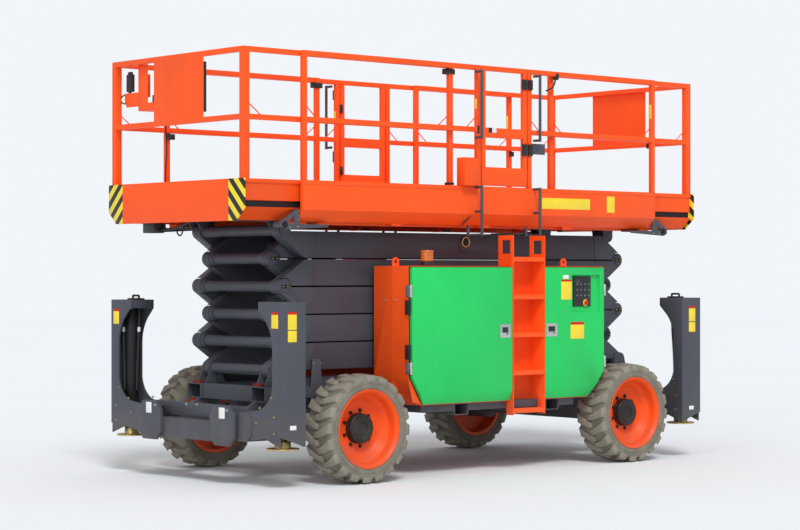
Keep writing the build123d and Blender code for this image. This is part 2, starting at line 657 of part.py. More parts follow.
def cabinet_outline(rear, front, floor, top, rear_cut, front_cut):
    """Outline of X and Z with its lower corners cut by the given lengths in X and Z."""
    points = [(rear, top), (rear, floor + (REAR_CUT[1] if rear_cut else 0))]
    if rear_cut:
        points.append((rear + REAR_CUT[0], floor))
    if front_cut:
        points.append((front - FRONT_CUT[0], floor))
    points += [(front, floor + (FRONT_CUT[1] if front_cut else 0)), (front, top)]
    return points


def make_cabinet(side):
    """Hollow housing open to its two doors, with a recess for the ladder between them."""
    with BuildPart() as cabinet:
        side_plate(cabinet_outline(CABINET_REAR, CABINET_FRONT, CABINET_FLOOR, CABINET_TOP, True, True),
                   side * CABINET_INNER, side * GUTTER_FROM)
        # the two compartments: rear wall, front wall, which lower corner is cut
        for room_rear, room_front, rear_cut, front_cut in (
            (LADDER_FRONT + 10, CABINET_FRONT - CABINET_WALL, False, True),
            (CABINET_REAR + CABINET_WALL, LADDER_REAR - 10, True, False),
        ):
            side_plate(cabinet_outline(room_rear, room_front, ROOM_FLOOR, ROOM_TOP, rear_cut, front_cut),
                       side * (CABINET_INNER + CABINET_WALL), side * CABINET_OUTER, mode=Mode.SUBTRACT)
        block(LADDER_REAR - 4, LADDER_FRONT + 4, side * (LADDER_RECESS - 5), side * CABINET_OUTER,
              CABINET_FLOOR, CABINET_TOP, mode=Mode.SUBTRACT)
        # gutters along the top edge that cover the doors
        for top_from, top_to in ((LADDER_FRONT + 4, CABINET_FRONT), (CABINET_REAR, LADDER_REAR - 4)):
            block(top_from, top_to, side * GUTTER_FROM, side * (DOOR_PLANE + 20), ROOM_TOP, CABINET_TOP)
        # ribs below the front wall, across its cut corner
        for rib_y in (CABINET_INNER + RIB_TUCK, EYE_Y, GUTTER_FROM - 2 * CABINET_WALL):
            cut_top = CABINET_FLOOR + FRONT_CUT[1]
            side_plate(
                ((CABINET_FRONT - RIB_TUCK, cut_top), (CABINET_FRONT, cut_top),
                 (CABINET_FRONT - RIB_REACH, CABINET_FLOOR + RIB_FOOT),
                 (CABINET_FRONT - FRONT_CUT[0] - RIB_TUCK, CABINET_FLOOR + RIB_TUCK)),
                side * rib_y, side * (rib_y + CABINET_WALL),
            )
        # lifting eyes on the top
        for eye_x in EYES_X:
            eye_z = CABINET_TOP + LIFTING_EYE
            eye_from, eye_to = side * EYE_Y, side * (EYE_Y + LIFTING_EYE_THICKNESS)
            block(eye_x - LIFTING_EYE, eye_x + LIFTING_EYE, eye_from, eye_to, CABINET_TOP, eye_z)
            pin_along_y(eye_x, eye_z, LIFTING_EYE, eye_from, eye_to)
            pin_along_y(eye_x, eye_z, EYE_HOLE, eye_from, eye_to, mode=Mode.SUBTRACT)
    return cabinet.part


for hand, side in (("left", 1), ("right", -1)):
    save(make_cabinet(side), f"cabinet_{hand}")


def make_door(side, rear, front, rear_cut, front_cut, recess):
    """One door; its outer panel, its bevelled bottom edge and its rim form one plate."""
    low = CABINET_FLOOR + DOOR_GAP
    with BuildPart() as door:
        side_plate(cabinet_outline(rear, front, low, ROOM_TOP - 4, rear_cut, front_cut),
                   side * DOOR_PLANE, side * CABINET_OUTER)
        cross_plate(
            ((side * (CABINET_OUTER + 1), low + DOOR_BEVEL[1]), (side * (CABINET_OUTER + 1), low - 1),
             (side * (CABINET_OUTER - DOOR_BEVEL[0]), low - 1)),
            rear, front, mode=Mode.SUBTRACT,
        )
        if recess:
            block(PANEL_RECESS[0], PANEL_RECESS[1], side * (CABINET_OUTER - PANEL_RECESS_DEPTH),
                  side * CABINET_OUTER, PANEL_RECESS[2], PANEL_RECESS[3], mode=Mode.SUBTRACT)
    return door.part


for hand, side in (("left", 1), ("right", -1)):
    front_door = make_door(side, LADDER_FRONT + DOOR_GAP, CABINET_FRONT - 8, False, True, False)
    rear_door = make_door(side, CABINET_REAR + DOOR_GAP, LADDER_REAR - DOOR_GAP, True, False, side == 1)
    save(front_door, f"door_front_{hand}")
    save(rear_door, f"door_rear_{hand}")

with BuildPart() as ladders:
    for side in (-1, 1):
        for plate_x in (LADDER_FRONT - LADDER_PLATE, LADDER_REAR):
            block(plate_x, plate_x + LADDER_PLATE, side * SILL_Y, side * LADDER_OUTER,
                  LADDER_BOTTOM, CABINET_FLOOR)
            block(plate_x, plate_x + LADDER_PLATE, side * LADDER_RECESS, side * LADDER_OUTER,
                  CABINET_FLOOR, LADDER_TOP)
            # hand hole at the top of each plate
            block(plate_x, plate_x + LADDER_PLATE, side * (LADDER_RECESS + 45), side * (LADDER_OUTER - 40),
                  LADDER_TOP - 150, LADDER_TOP - 40, mode=Mode.SUBTRACT)
        block(LADDER_REAR, LADDER_FRONT, side * LADDER_RECESS, side * (LADDER_RECESS + LADDER_PLATE),
              CABINET_FLOOR, LADDER_BACK_TOP)
        for step in range(STEPS):
            step_z = STEP_FIRST + step * STEP_PITCH
            step_inner = LADDER_RECESS if step_z > CABINET_FLOOR else SILL_Y
            block(LADDER_REAR, LADDER_FRONT, side * step_inner, side * LADDER_OUTER,
                  step_z - STEP_THICKNESS / 2, step_z + STEP_THICKNESS / 2)
save(ladders.part, "ladders")

with BuildPart() as beacon:
    pin_along_z(BEACON[0], BEACON[1], 50, CABINET_TOP, CABINET_TOP + 38)
    pin_along_z(BEACON[0], BEACON[1], 42, CABINET_TOP + 38, CABINET_TOP + 112)
    pin_along_z(BEACON[0], BEACON[1], 30, CABINET_TOP + 112, CABINET_TOP + 124)
save(beacon.part, "beacon")

PACK_HEIGHT = 574
with BuildPart() as battery_packs:
    for side in (-1, 1):
        block(60, CABINET_FRONT - 186, side * (CABINET_INNER + 40), side * (DOOR_PLANE - 60),
              ROOM_FLOOR, ROOM_FLOOR + PACK_HEIGHT)
save(battery_packs.part, "battery_packs")


# ---------------------------------------------------------------- scissor arms
def tangent_point(outside, centre, radius, turn):
    """Where the tangent from a point outside touches a circle; turn picks the side."""
    reach = math.dist(outside, centre)
    heading = math.atan2(outside[1] - centre[1], outside[0] - centre[0])
    angle = heading + turn * math.acos(radius / reach)
    return (centre[0] + radius * math.cos(angle), centre[1] + radius * math.sin(angle))


def arm_profile(stage, lean):
    """Pins and outline of a beam: lean +1 rises to the front, lean -1 rises to the rear."""
    low = ROW_0 + (stage - 1) * PITCH
    high = low + PITCH
    bottom, top = low + BEAM_GAP / 2, high - BEAM_GAP / 2
    low_pin, high_pin = (-lean * PIN_X, low), (lean * PIN_X, high)
    taper_x = lean * (PIN_X - TAPER)
    under = tangent_point((taper_x, bottom), high_pin, BOSS_RADIUS, lean)
    over = tangent_point((-taper_x, top), low_pin, BOSS_RADIUS, lean)
    return low_pin, high_pin, (
        (low_pin[0], bottom), (taper_x, bottom), under, high_pin,
        (high_pin[0], top), (-taper_x, top), over, low_pin,
    )


def add_lug_end(pin_x, pin_z, lug, inner, outer):
    """One end of a pair of beams.

    lug is "outboard" (half thick, with the pin), "inboard" (half thick, bored, with the cross
    tube), "bored" or "pinned" (full thickness).
    """
    middle = (inner + outer) / 2
    if lug == "outboard":
        pin_along_y(pin_x, pin_z, LUG_RELIEF, inner, middle + LUG_GAP / 2, mode=Mode.SUBTRACT)
        pin_along_y(pin_x, pin_z, PIN_RADIUS, inner - COLLAR_LENGTH, middle + LUG_GAP)
        pin_along_y(pin_x, pin_z, CAP_RADIUS, outer, outer + CAP_THICKNESS)
    elif lug == "inboard":
        pin_along_y(pin_x, pin_z, LUG_RELIEF, middle - LUG_GAP / 2, outer + DOUBLER_THICKNESS,
                    mode=Mode.SUBTRACT)
        pin_along_y(pin_x, pin_z, TUBE_RADIUS, 0, inner)
        pin_along_y(pin_x, pin_z, TUBE_COLLAR, inner - COLLAR_LENGTH, inner)
        pin_along_y(pin_x, pin_z, PIN_RADIUS + RUNNING_CLEARANCE, inner - COLLAR_LENGTH - 5, outer,
                    mode=Mode.SUBTRACT)
    elif lug == "bored":
        pin_along_y(pin_x, pin_z, PIN_RADIUS + RUNNING_CLEARANCE, inner, outer + DOUBLER_THICKNESS,
                    mode=Mode.SUBTRACT)
    else:
        pin_along_y(pin_x, pin_z, PIN_RADIUS, inner - 22, PIVOT_OUT if inner > INNER_ARM[0] else outer + 22)


def make_arm(stage, lean, band, low_lug, high_lug, tubes, hangers=()):
    """One pair of beams, left and right, with its lugs, pins and cross tubes."""
    low_pin, high_pin, outline = arm_profile(stage, lean)
    inner, outer = band
    with BuildPart() as arm:
        side_plate(outline, inner, outer)
        if band == OUTER_ARM:
            side_plate(outline, outer, outer + DOUBLER_THICKNESS)
            doubler_end = PIN_X - DOUBLER
            block(-doubler_end, doubler_end, outer, outer + DOUBLER_THICKNESS,
                  low_pin[1], high_pin[1], mode=Mode.SUBTRACT)
        for pin_x, pin_z in (low_pin, high_pin):
            boss_outer = outer + (DOUBLER_THICKNESS if band == OUTER_ARM else 0)
            pin_along_y(pin_x, pin_z, BOSS_RADIUS, inner, boss_outer)
        for (pin_x, pin_z), lug in ((low_pin, low_lug), (high_pin, high_lug)):
            add_lug_end(pin_x, pin_z, lug, inner, outer)
        centre_z = (low_pin[1] + high_pin[1]) / 2
        if band == OUTER_ARM:
            pin_along_y(0, centre_z, CENTRE_PIN_RADIUS, INNER_ARM[0] + 5, inner)
            pin_along_y(0, centre_z, BOSS_RADIUS, INNER_ARM[1] + 3, inner)
            pin_along_y(0, centre_z, CAP_RADIUS, outer, outer + CAP_THICKNESS)
        else:
            pin_along_y(0, centre_z, CENTRE_PIN_RADIUS + RUNNING_CLEARANCE, inner, outer,
                        mode=Mode.SUBTRACT)
        for tube_x, tube_z in tubes:
            pin_along_y(tube_x, tube_z, TUBE_RADIUS, 0, inner)
        # hangers that hold the rod's eye of a lift cylinder
        hanger_from = EYE_WIDTH / 2 + 2
        hanger_to = hanger_from + HANGER_THICKNESS
        for hanger_x, tube_z in hangers:
            eye_z = tube_z - EYE_DROP
            side_plate(
                ((hanger_x - TUBE_COLLAR, tube_z), (hanger_x + TUBE_COLLAR, tube_z),
                 (hanger_x + TUBE_RADIUS, eye_z), (hanger_x - TUBE_RADIUS, eye_z)),
                hanger_from, hanger_to,
            )
            pin_along_y(hanger_x, eye_z, TUBE_RADIUS, hanger_from, hanger_to)
            pin_along_y(hanger_x, tube_z, TUBE_COLLAR, hanger_from, hanger_to)
        mirror(about=Plane.XZ)
    return arm.part


def band_middle(stage):
    """Height of the middle of a folded beam."""
    return ROW_0 + (stage - 0.5) * PITCH


LOWER_BASE = (CYLINDER_X, band_middle(1))
UPPER_BASE = (CYLINDER_X, band_middle(3))
LOWER_EYE_TUBE = (EYE_X, band_middle(3))
UPPER_EYE_TUBE = (EYE_X, band_middle(5))
# columns: name, stage, lean, band, lug at the low pin, lug at the high pin, tubes, hangers
ARMS = (
    ("outer_arm_1", 1, 1, OUTER_ARM, "pinned", "outboard", ((-PIN_X, ROW_0),), ()),
    ("outer_arm_2", 2, -1, OUTER_ARM, "inboard", "outboard", (), ()),
    ("outer_arm_3", 3, 1, OUTER_ARM, "inboard", "outboard", (), ()),
    ("outer_arm_4", 4, -1, OUTER_ARM, "inboard", "outboard", (), ()),
    ("outer_arm_5", 5, 1, OUTER_ARM, "inboard", "bored", (), ()),
    ("inner_arm_1", 1, -1, INNER_ARM, "bored", "outboard", (LOWER_BASE,), ()),
    ("inner_arm_2", 2, 1, INNER_ARM, "inboard", "outboard", (), ()),
    ("inner_arm_3", 3, -1, INNER_ARM, "inboard", "outboard",
     (UPPER_BASE, LOWER_EYE_TUBE), (LOWER_EYE_TUBE,)),
    ("inner_arm_4", 4, 1, INNER_ARM, "inboard", "outboard", (), ()),
    ("inner_arm_5", 5, -1, INNER_ARM, "inboard", "pinned", (UPPER_EYE_TUBE,), (UPPER_EYE_TUBE,)),
)
for name, stage, lean, band, low_lug, high_lug, tubes, hangers in ARMS:
    save(make_arm(stage, lean, band, low_lug, high_lug, tubes, hangers), name)


def make_slider(pin_z, band, shoe_back, shoe_face):
    """Cross shaft that carries one level shoe at each end; the shoe's face runs on its track."""
    inner, outer = band
    skin = DOUBLER_THICKNESS if band == OUTER_ARM else 0
    with BuildPart() as slider:
        pin_along_y(PIN_X, pin_z, TUBE_RADIUS, 0, inner - 2)
        pin_along_y(PIN_X, pin_z, PIN_RADIUS, 0, outer + SHOE_PLATE + 4)
        for plate_from in (inner - 2 - SHOE_PLATE, outer + 2 + skin):
            side_plate(
                ((PIN_X - TUBE_RADIUS, pin_z), (PIN_X + TUBE_RADIUS, pin_z),
                 (PIN_X + SHOE_HALF_LENGTH - 5, shoe_back), (PIN_X - SHOE_HALF_LENGTH + 5, shoe_back)),
                plate_from, plate_from + SHOE_PLATE,
            )
            pin_along_y(PIN_X, pin_z, TUBE_RADIUS + 5, plate_from, plate_from + SHOE_PLATE)
        block(PIN_X - SHOE_HALF_LENGTH, PIN_X + SHOE_HALF_LENGTH, inner - 2 - SHOE_PLATE,
              outer + 2 + skin + SHOE_PLATE, shoe_back, shoe_face)
        mirror(about=Plane.XZ)
    return slider.part


save(make_slider(ROW_0, INNER_ARM, RAIL_TOP + SHOE_THICKNESS, RAIL_TOP + SHOE_CLEARANCE), "lower_slider")
save(make_slider(TOP_ROW, OUTER_ARM, TRACK_BOTTOM - SHOE_THICKNESS, TRACK_BOTTOM - SHOE_CLEARANCE),
     "upper_slider")


# ---------------------------------------------------------------- lift cylinders
def make_cylinder(base, eye_tube):
    """Barrel and rod from the tube on one inner arm to the eye on the inner arm two stages up."""
    eye = (eye_tube[0], eye_tube[1] - EYE_DROP)
    closed = math.dist(base, eye)
    heading = math.atan2(eye[1] - base[1], eye[0] - base[0])
    along = Plane(
        origin=(base[0], 0, base[1]),
        x_dir=(0, 1, 0),
        z_dir=(math.cos(heading), 0, math.sin(heading)),
    )
    mouth = closed - BARREL_END_GAP
    barrel_from = TUBE_RADIUS + 20
    bore_from = barrel_from + 40
    with BuildPart() as barrel:
        with BuildSketch(along.offset(barrel_from)):
            Circle(BARREL_RADIUS)
        extrude(amount=mouth - barrel_from)
        with BuildSketch(along.offset(mouth - GLAND_LENGTH)):
            Circle(GLAND_RADIUS)
        extrude(amount=GLAND_LENGTH)
        pin_along_y(base[0], base[1], TUBE_RADIUS + 32, -EYE_WIDTH / 2, EYE_WIDTH / 2)
        pin_along_y(base[0], base[1], TUBE_RADIUS + RUNNING_CLEARANCE, -GLAND_RADIUS, GLAND_RADIUS,
                    mode=Mode.SUBTRACT)
        with BuildSketch(along.offset(bore_from)):
            Circle(ROD_RADIUS + ROD_CLEARANCE)
        extrude(amount=mouth, mode=Mode.SUBTRACT)
    with BuildPart() as rod:
        with BuildSketch(along.offset(bore_from + 10)):
            Circle(ROD_RADIUS)
        extrude(amount=closed - bore_from - 10 - EYE_RADIUS / 2)
        pin_along_y(eye[0], eye[1], EYE_RADIUS, -EYE_WIDTH / 2, EYE_WIDTH / 2)
    return barrel.part, rod.part


for level, base, eye_tube in (("lower", LOWER_BASE, LOWER_EYE_TUBE), ("upper", UPPER_BASE, UPPER_EYE_TUBE)):
    barrel_part, rod_part = make_cylinder(base, eye_tube)
    save(barrel_part, f"{level}_barrel")
    save(rod_part, f"{level}_rod")

# ---------------------------------------------------------------- main deck
SKIRT_LOW = DECK_HALF - SKIRT_TUCK
FLOOR_BOTTOM = FLOOR_TOP - FLOOR_THICKNESS
RISER_FOOT = SKIRT_BOTTOM - 18
DECK_LENGTH = DECK_FRONT - DECK_REAR
OPEN_FLOOR = 20  # gap between the open middle of the floor and the sliding decks
with BuildPart() as main_deck:
    cross_plate(
        ((DECK_HALF, DECK_TOP), (DECK_HALF, SKIRT_BREAK), (SKIRT_LOW, SKIRT_BOTTOM),
         (SKIRT_LOW - SKIRT_WALL, SKIRT_BOTTOM), (DECK_HALF - SKIRT_WALL, SKIRT_BREAK + 4),
         (DECK_HALF - SKIRT_WALL, DECK_TOP)),
        DECK_REAR, DECK_FRONT,
    )
    # frames round the ends of the skirt
    for frame_x in (DECK_REAR, DECK_FRONT - END_FRAME_THICKNESS):
        cross_plate(
            ((DECK_HALF, DECK_TOP), (DECK_HALF, SKIRT_BREAK), (SKIRT_LOW, SKIRT_BOTTOM),
             (SKIRT_LOW - 1.4 * END_FRAME, SKIRT_BOTTOM), (DECK_HALF - END_FRAME, SKIRT_BREAK + 9),
             (DECK_HALF - END_FRAME, DECK_TOP)),
            frame_x, frame_x + END_FRAME_THICKNESS,
        )
    block(DECK_REAR, DECK_FRONT, 0, RISER_Y, FLOOR_BOTTOM, FLOOR_TOP)
    block(REAR_DECK_INNER + OPEN_FLOOR, FRONT_DECK_INNER - OPEN_FLOOR, RISER_Y, DECK_HALF - SKIRT_WALL,
          FLOOR_BOTTOM, FLOOR_TOP)
    block(DECK_REAR, DECK_FRONT, RISER_Y - RISER_WALL, RISER_Y, RISER_FOOT, FLOOR_TOP)
    for index in range(5):
        # ledges below the sliding decks' beams, and cross beams below the floor
        ledge_x = DECK_REAR + 50 + index * (DECK_LENGTH - 100) / 4
        block(ledge_x - 50, ledge_x + 50, RISER_Y - 80, SKIRT_LOW, RISER_FOOT, RISER_FOOT + LEDGE)
        block(ledge_x - DECK_BEAM_HALF, ledge_x + DECK_BEAM_HALF, 0, RISER_Y,
              FLOOR_BOTTOM - DECK_BEAM_DEPTH, FLOOR_BOTTOM)
    # track of the upper slider
    block(TRACK_FROM, DECK_FRONT, TRACK_Y[0], TRACK_Y[1], TRACK_BOTTOM, FLOOR_BOTTOM)
    # brackets of the rear upper pivot
    for plate_from in (INNER_ARM[0] - 22, INNER_ARM[1] + 6):
        side_plate(
            ((-PIN_X - UPPER_PIVOT_REACH[0], FLOOR_BOTTOM), (-PIN_X + UPPER_PIVOT_REACH[1], FLOOR_BOTTOM),
             (-PIN_X + BOSS_RADIUS - 5, TOP_ROW), (-PIN_X - BOSS_RADIUS + 5, TOP_ROW)),
            plate_from, plate_from + 16,
        )
        pin_along_y(-PIN_X, TOP_ROW, BOSS_RADIUS, plate_from, plate_from + 16)
        pin_along_y(-PIN_X, TOP_ROW, PIN_RADIUS + RUNNING_CLEARANCE, plate_from, plate_from + 16,
                    mode=Mode.SUBTRACT)
    mirror(about=Plane.XZ)
save(main_deck.part, "main_deck")

BRACKET_Y = SLIDE_BEAM[1] + 12
BRACKET_BOTTOM = SKIRT_BOTTOM - 60
BRACKET_TOP = SKIRT_BREAK + 3
with BuildPart() as deck_brackets:
    for end, deck_end in ((1, DECK_FRONT), (-1, DECK_REAR)):
        tail_x = deck_end - end * BRACKET_LENGTH
        face_x = deck_end + end * BRACKET_GAP
        nose_x = deck_end + end * BRACKET_NOSE
        side_plate(
            ((tail_x, RISER_FOOT), (tail_x, RISER_FOOT - 20), (nose_x - end * 40, BRACKET_BOTTOM),
             (nose_x, BRACKET_BOTTOM + 20), (nose_x, BRACKET_BOTTOM + 55),
             (face_x + end * 40, BRACKET_TOP), (face_x, BRACKET_TOP), (face_x, RISER_FOOT)),
            BRACKET_Y, BRACKET_Y + BRACKET_THICKNESS,
        )
        # foot plate below the ledge at the deck's end
        block(tail_x, deck_end, RISER_Y + 4, BRACKET_Y + BRACKET_THICKNESS, RISER_FOOT - 10, RISER_FOOT)
        # triangular window, and the roller that the sliding deck's flange runs on
        side_plate(
            ((face_x + end * 54, BRACKET_BOTTOM + 50), (face_x + end * 54, BRACKET_BOTTOM + 104),
             (face_x + end * 118, BRACKET_BOTTOM + 50)),
            BRACKET_Y, BRACKET_Y + BRACKET_THICKNESS, mode=Mode.SUBTRACT,
        )
        pin_along_y(nose_x - end * 40, FLANGE_BOTTOM - ROLLER_RADIUS - 5, ROLLER_RADIUS,
                    RISER_Y + 10, BRACKET_Y)
    mirror(about=Plane.XZ)
save(deck_brackets.part, "deck_brackets")

# ---------------------------------------------------------------- guard rails
TOP_TUBE = GUARD_TOP - TUBE
MIDDLE_TUBE = GUARD_MIDDLE - TUBE
MAIN_IN = DECK_HALF - TUBE
SLIDE_OUT = SLIDE_BEAM[0] + TUBE - TUBE_PLAY
SOCKET_BOX = (195, 348, DECK_TOP, DECK_TOP + 225)  # x, x, z, z

with BuildPart() as main_rails:
    # columns: rear end, front end of each fixed bay beside the gates
    for bay_rear, bay_front in (
        (GATE_FRONT + GATE_POST_GAP, DECK_FRONT),
        (DECK_REAR, GATE_REAR - GATE_POST_GAP),
    ):
        for tube_bottom in (TOP_TUBE, MIDDLE_TUBE):
            block(bay_rear, bay_front, MAIN_IN, DECK_HALF, tube_bottom, tube_bottom + TUBE)
        for post_x in (bay_front - TUBE, bay_rear):
            block(post_x, post_x + TUBE, MAIN_IN, DECK_HALF, DECK_TOP, GUARD_TOP)
    mirror(about=Plane.XZ)
    # socket box on the left rail
    block(SOCKET_BOX[0], SOCKET_BOX[1], MAIN_IN, DECK_HALF + 60, SOCKET_BOX[2], SOCKET_BOX[3])
save(main_rails.part, "main_rails")

HANDLE_TUCK = SKIRT_LOW - SKIRT_WALL / 2
with BuildPart() as grab_handles:
    for side in (-1, 1):
        for handle_x in (GATE_FRONT + HANDLE_OFFSET, GATE_REAR - HANDLE_OFFSET):
            reach_y = side * HANDLE_Y
            # upper handle, beside the gate
            upper_low, upper_high = GUARD_MIDDLE - 87, GUARD_TOP - 57
            pin_along_z(handle_x, reach_y, HANDLE_RADIUS,
                        upper_low - HANDLE_RADIUS, upper_high + HANDLE_RADIUS)
            for foot_z in (upper_low, upper_high):
                pin_along_y(handle_x, foot_z, FOOT_RADIUS, side * DECK_HALF, reach_y)
            # lower handle, down the skirt and back under it
            lower_low, lower_high = SKIRT_BOTTOM - 78, DECK_TOP - 10
            pin_along_z(handle_x, reach_y, HANDLE_RADIUS,
                        lower_low - HANDLE_RADIUS, lower_high + HANDLE_RADIUS)
            for foot_z in (SKIRT_BREAK + 20, lower_high):
                pin_along_y(handle_x, foot_z, FOOT_RADIUS, side * DECK_HALF, reach_y)
            pin_along_y(handle_x, lower_low, FOOT_RADIUS, side * HANDLE_TUCK, reach_y)
            pin_along_z(handle_x, side * HANDLE_TUCK, HANDLE_RADIUS, lower_low - HANDLE_RADIUS, SKIRT_BOTTOM)
save(grab_handles.part, "grab_handles")


# ---------------------------------------------------------------- sliding decks
def make_slide_deck(end, inner_x):
    """Sliding deck: floor, two side beams with a sloping flange below, and the end plate."""
    outer_x = end * NOSE_X
    floor_bottom = DECK_TOP - SLIDE_FLOOR
    flange_y = SLIDE_BEAM[1] + FLANGE_OUT
    flange_low = flange_y - (SLOT[0] - FLANGE_BOTTOM)
    slot_y = SLIDE_BEAM[1] - SLOT_DEPTH
    with BuildPart() as deck:
        block(inner_x, outer_x, 0, SLIDE_BEAM[1], floor_bottom, DECK_TOP)
        cross_plate(
            ((SLIDE_BEAM[0], DECK_TOP), (SLIDE_BEAM[1] + SLIDE_LIP, DECK_TOP),
             (SLIDE_BEAM[1] + SLIDE_LIP, floor_bottom), (SLIDE_BEAM[1], floor_bottom),
             (SLIDE_BEAM[1], SLOT[1]), (slot_y, SLOT[1]), (slot_y, SLOT[0]), (flange_y, SLOT[0]),
             (flange_low, FLANGE_BOTTOM), (flange_low - SLIDE_FLANGE, FLANGE_BOTTOM),
             (SLIDE_BEAM[0], FLANGE_BOTTOM + SLIDE_BEAM[0] - flange_low + SLIDE_FLANGE)),
            inner_x, outer_x,
        )
        nose_half = DECK_HALF - 15
        cross_plate(
            ((0, DECK_TOP), (nose_half, DECK_TOP), (nose_half, NOSE_BOTTOM + NOSE_CORNER[1]),
             (nose_half - NOSE_CORNER[0], NOSE_BOTTOM), (0, NOSE_BOTTOM)),
            end * (NOSE_X - NOSE_PLATE), outer_x,
        )
        beam_x = end * (NOSE_X - 450)
        block(beam_x - 40, beam_x + 40, 0, SLIDE_BEAM[0], floor_bottom - 153, floor_bottom)
        mirror(about=Plane.XZ)
    return deck.part


save(make_slide_deck(1, FRONT_DECK_INNER), "front_deck")
save(make_slide_deck(-1, REAR_DECK_INNER), "rear_deck")


def make_slide_rails(end, inner_x, panel):
    """Guard rail of a sliding deck: two sides and the end, with its plain sign panel."""
    outer_x = end * (NOSE_X - NOSE_PLATE)
    with BuildPart() as rails:
        for high in (GUARD_TOP, GUARD_MIDDLE):
            block(inner_x, outer_x, SLIDE_BEAM[0], SLIDE_OUT, high - TUBE, high)
            block(outer_x - end * TUBE, outer_x, 0, SLIDE_OUT, high - TUBE, high)
        block(outer_x - end * CORNER_POST, outer_x, SLIDE_OUT - CORNER_POST + 10, SLIDE_OUT,
              DECK_TOP, GUARD_TOP)
        block(inner_x, inner_x + end * TUBE, SLIDE_BEAM[0], SLIDE_OUT, DECK_TOP, GUARD_TOP)
        mirror(about=Plane.XZ)
        block(outer_x - end * 4, outer_x, panel[0], panel[1], MIDDLE_TUBE, GUARD_TOP)
    return rails.part


save(make_slide_rails(1, FRONT_DECK_INNER, SIGN_PANEL), "front_rails")
save(make_slide_rails(-1, REAR_DECK_INNER, REAR_PANEL), "rear_rails")

# ---------------------------------------------------------------- platform controls
CONSOLE_X = NOSE_X - NOSE_PLATE - TUBE
CONSOLE_Y = (-560, -180)
CONSOLE_Z = GUARD_TOP - 403
CONTROL_BOX_Y = (-395, -200)
with BuildPart() as control_box:
    # bracket: shelf, back plate and the strap that hooks over the top rail
    block(CONSOLE_X - 150, CONSOLE_X, CONSOLE_Y[0], CONSOLE_Y[1], CONSOLE_Z, CONSOLE_Z + 6)
    block(CONSOLE_X - 6, CONSOLE_X, CONSOLE_Y[0], CONSOLE_Y[1] - 250, CONSOLE_Z, GUARD_TOP - TUBE)
    block(CONSOLE_X - 6, CONSOLE_X, CONSOLE_Y[0], CONSOLE_Y[1], CONSOLE_Z, CONSOLE_Z + 60)
    block(CONSOLE_X - 140, CONSOLE_X - 20, CONTROL_BOX_Y[0], CONTROL_BOX_Y[1],
          CONSOLE_Z + 6, CONSOLE_Z + 118)
    block(CONSOLE_X - 70, CONSOLE_X - 6, CONSOLE_Y[0] + 20, CONSOLE_Y[0] + 70,
          CONSOLE_Z + 110, CONSOLE_Z + 290)
    # gland that the control cable leaves through
    pin_along_z(CONSOLE_X - 80, CONTROL_BOX_Y[0] + 95, 11, CONSOLE_Z - 24, CONSOLE_Z)
save(control_box.part, "control_box")

# box for documents behind the sign panel: x, x, y, y
DOCUMENTS = (CONSOLE_X + 8, CONSOLE_X + TUBE - 4, SIGN_PANEL[1] - 320, SIGN_PANEL[1] - 2)
DOCUMENTS_WALL = 4
with BuildPart() as document_box:
    block(DOCUMENTS[0], DOCUMENTS[1], DOCUMENTS[2], DOCUMENTS[3],
          GUARD_MIDDLE + 40, GUARD_TOP - TUBE - 40)
    block(DOCUMENTS[0] + DOCUMENTS_WALL, DOCUMENTS[1] - DOCUMENTS_WALL, DOCUMENTS[2] + DOCUMENTS_WALL,
          DOCUMENTS[3] - DOCUMENTS_WALL, GUARD_MIDDLE + 40 + DOCUMENTS_WALL, GUARD_TOP - TUBE - 40,
          mode=Mode.SUBTRACT)
save(document_box.part, "document_box")

# Control cable, from its gland down to the sliding deck; columns: x, y, z
CABLE_X = CONSOLE_X - 80
CABLE_Y = CONTROL_BOX_Y[0] + 95
CABLE_TOP = CONSOLE_Z - 24
CABLE_RUN = (CABLE_TOP - DECK_TOP) / 5
LEAN = CABLE_RUN * math.tan(math.radians(8))
CABLE = (
    (CABLE_X, CABLE_Y, CABLE_TOP),
    (CABLE_X, CABLE_Y, CABLE_TOP - CABLE_RUN),
    (CABLE_X, CABLE_Y + LEAN, CABLE_TOP - 2 * CABLE_RUN),
    (CABLE_X, CABLE_Y + LEAN, CABLE_TOP - 3 * CABLE_RUN),
    (CABLE_X, CABLE_Y, CABLE_TOP - 4 * CABLE_RUN),
    (CABLE_X, CABLE_Y, DECK_TOP),
)
CABLE_BEND = 0.45 * CABLE_RUN / math.tan(math.radians(8) / 2)
with BuildPart() as control_cable:
    with BuildLine() as cable_path:
        FilletPolyline(*CABLE, radius=CABLE_BEND)
    with BuildSketch(Plane(origin=CABLE[0], z_dir=(0, 0, -1))):
        Circle(CABLE_RADIUS)
    sweep(path=cable_path.line)
CABLE_LENGTH = sum(edge.length for edge in cable_path.edges())
print("cable: bends of radius", round(CABLE_BEND, 1), "length", round(CABLE_LENGTH, 1))
save(control_cable.part, "control_cable")


# ---------------------------------------------------------------- gates
def make_gate(side, hinge_x, latch_x):
    """Swing gate: two stiles, top tube, thick middle rail, toe plate and hinge knuckles."""
    low, high = min(hinge_x, latch_x) + GATE_GAP, max(hinge_x, latch_x) - GATE_GAP
    inner, outer = side * MAIN_IN, side * DECK_HALF
    with BuildPart() as gate:
        block(low, high, inner, outer, TOP_TUBE, GUARD_TOP)
        block(low, high, inner, outer, MIDDLE_TUBE - TUBE, GUARD_MIDDLE)
        block(low, high, inner, outer, DECK_TOP + GATE_POST_GAP, DECK_TOP + GATE_POST_GAP + TOE_PLATE)
        for stile_x in (low, high - TUBE):
            block(stile_x, stile_x + TUBE, inner, outer, DECK_TOP + GATE_POST_GAP, GUARD_TOP)
    return gate.part


save(make_gate(1, GATE_REAR, GATE_FRONT), "gate_left")
save(make_gate(-1, GATE_FRONT, GATE_REAR), "gate_right")
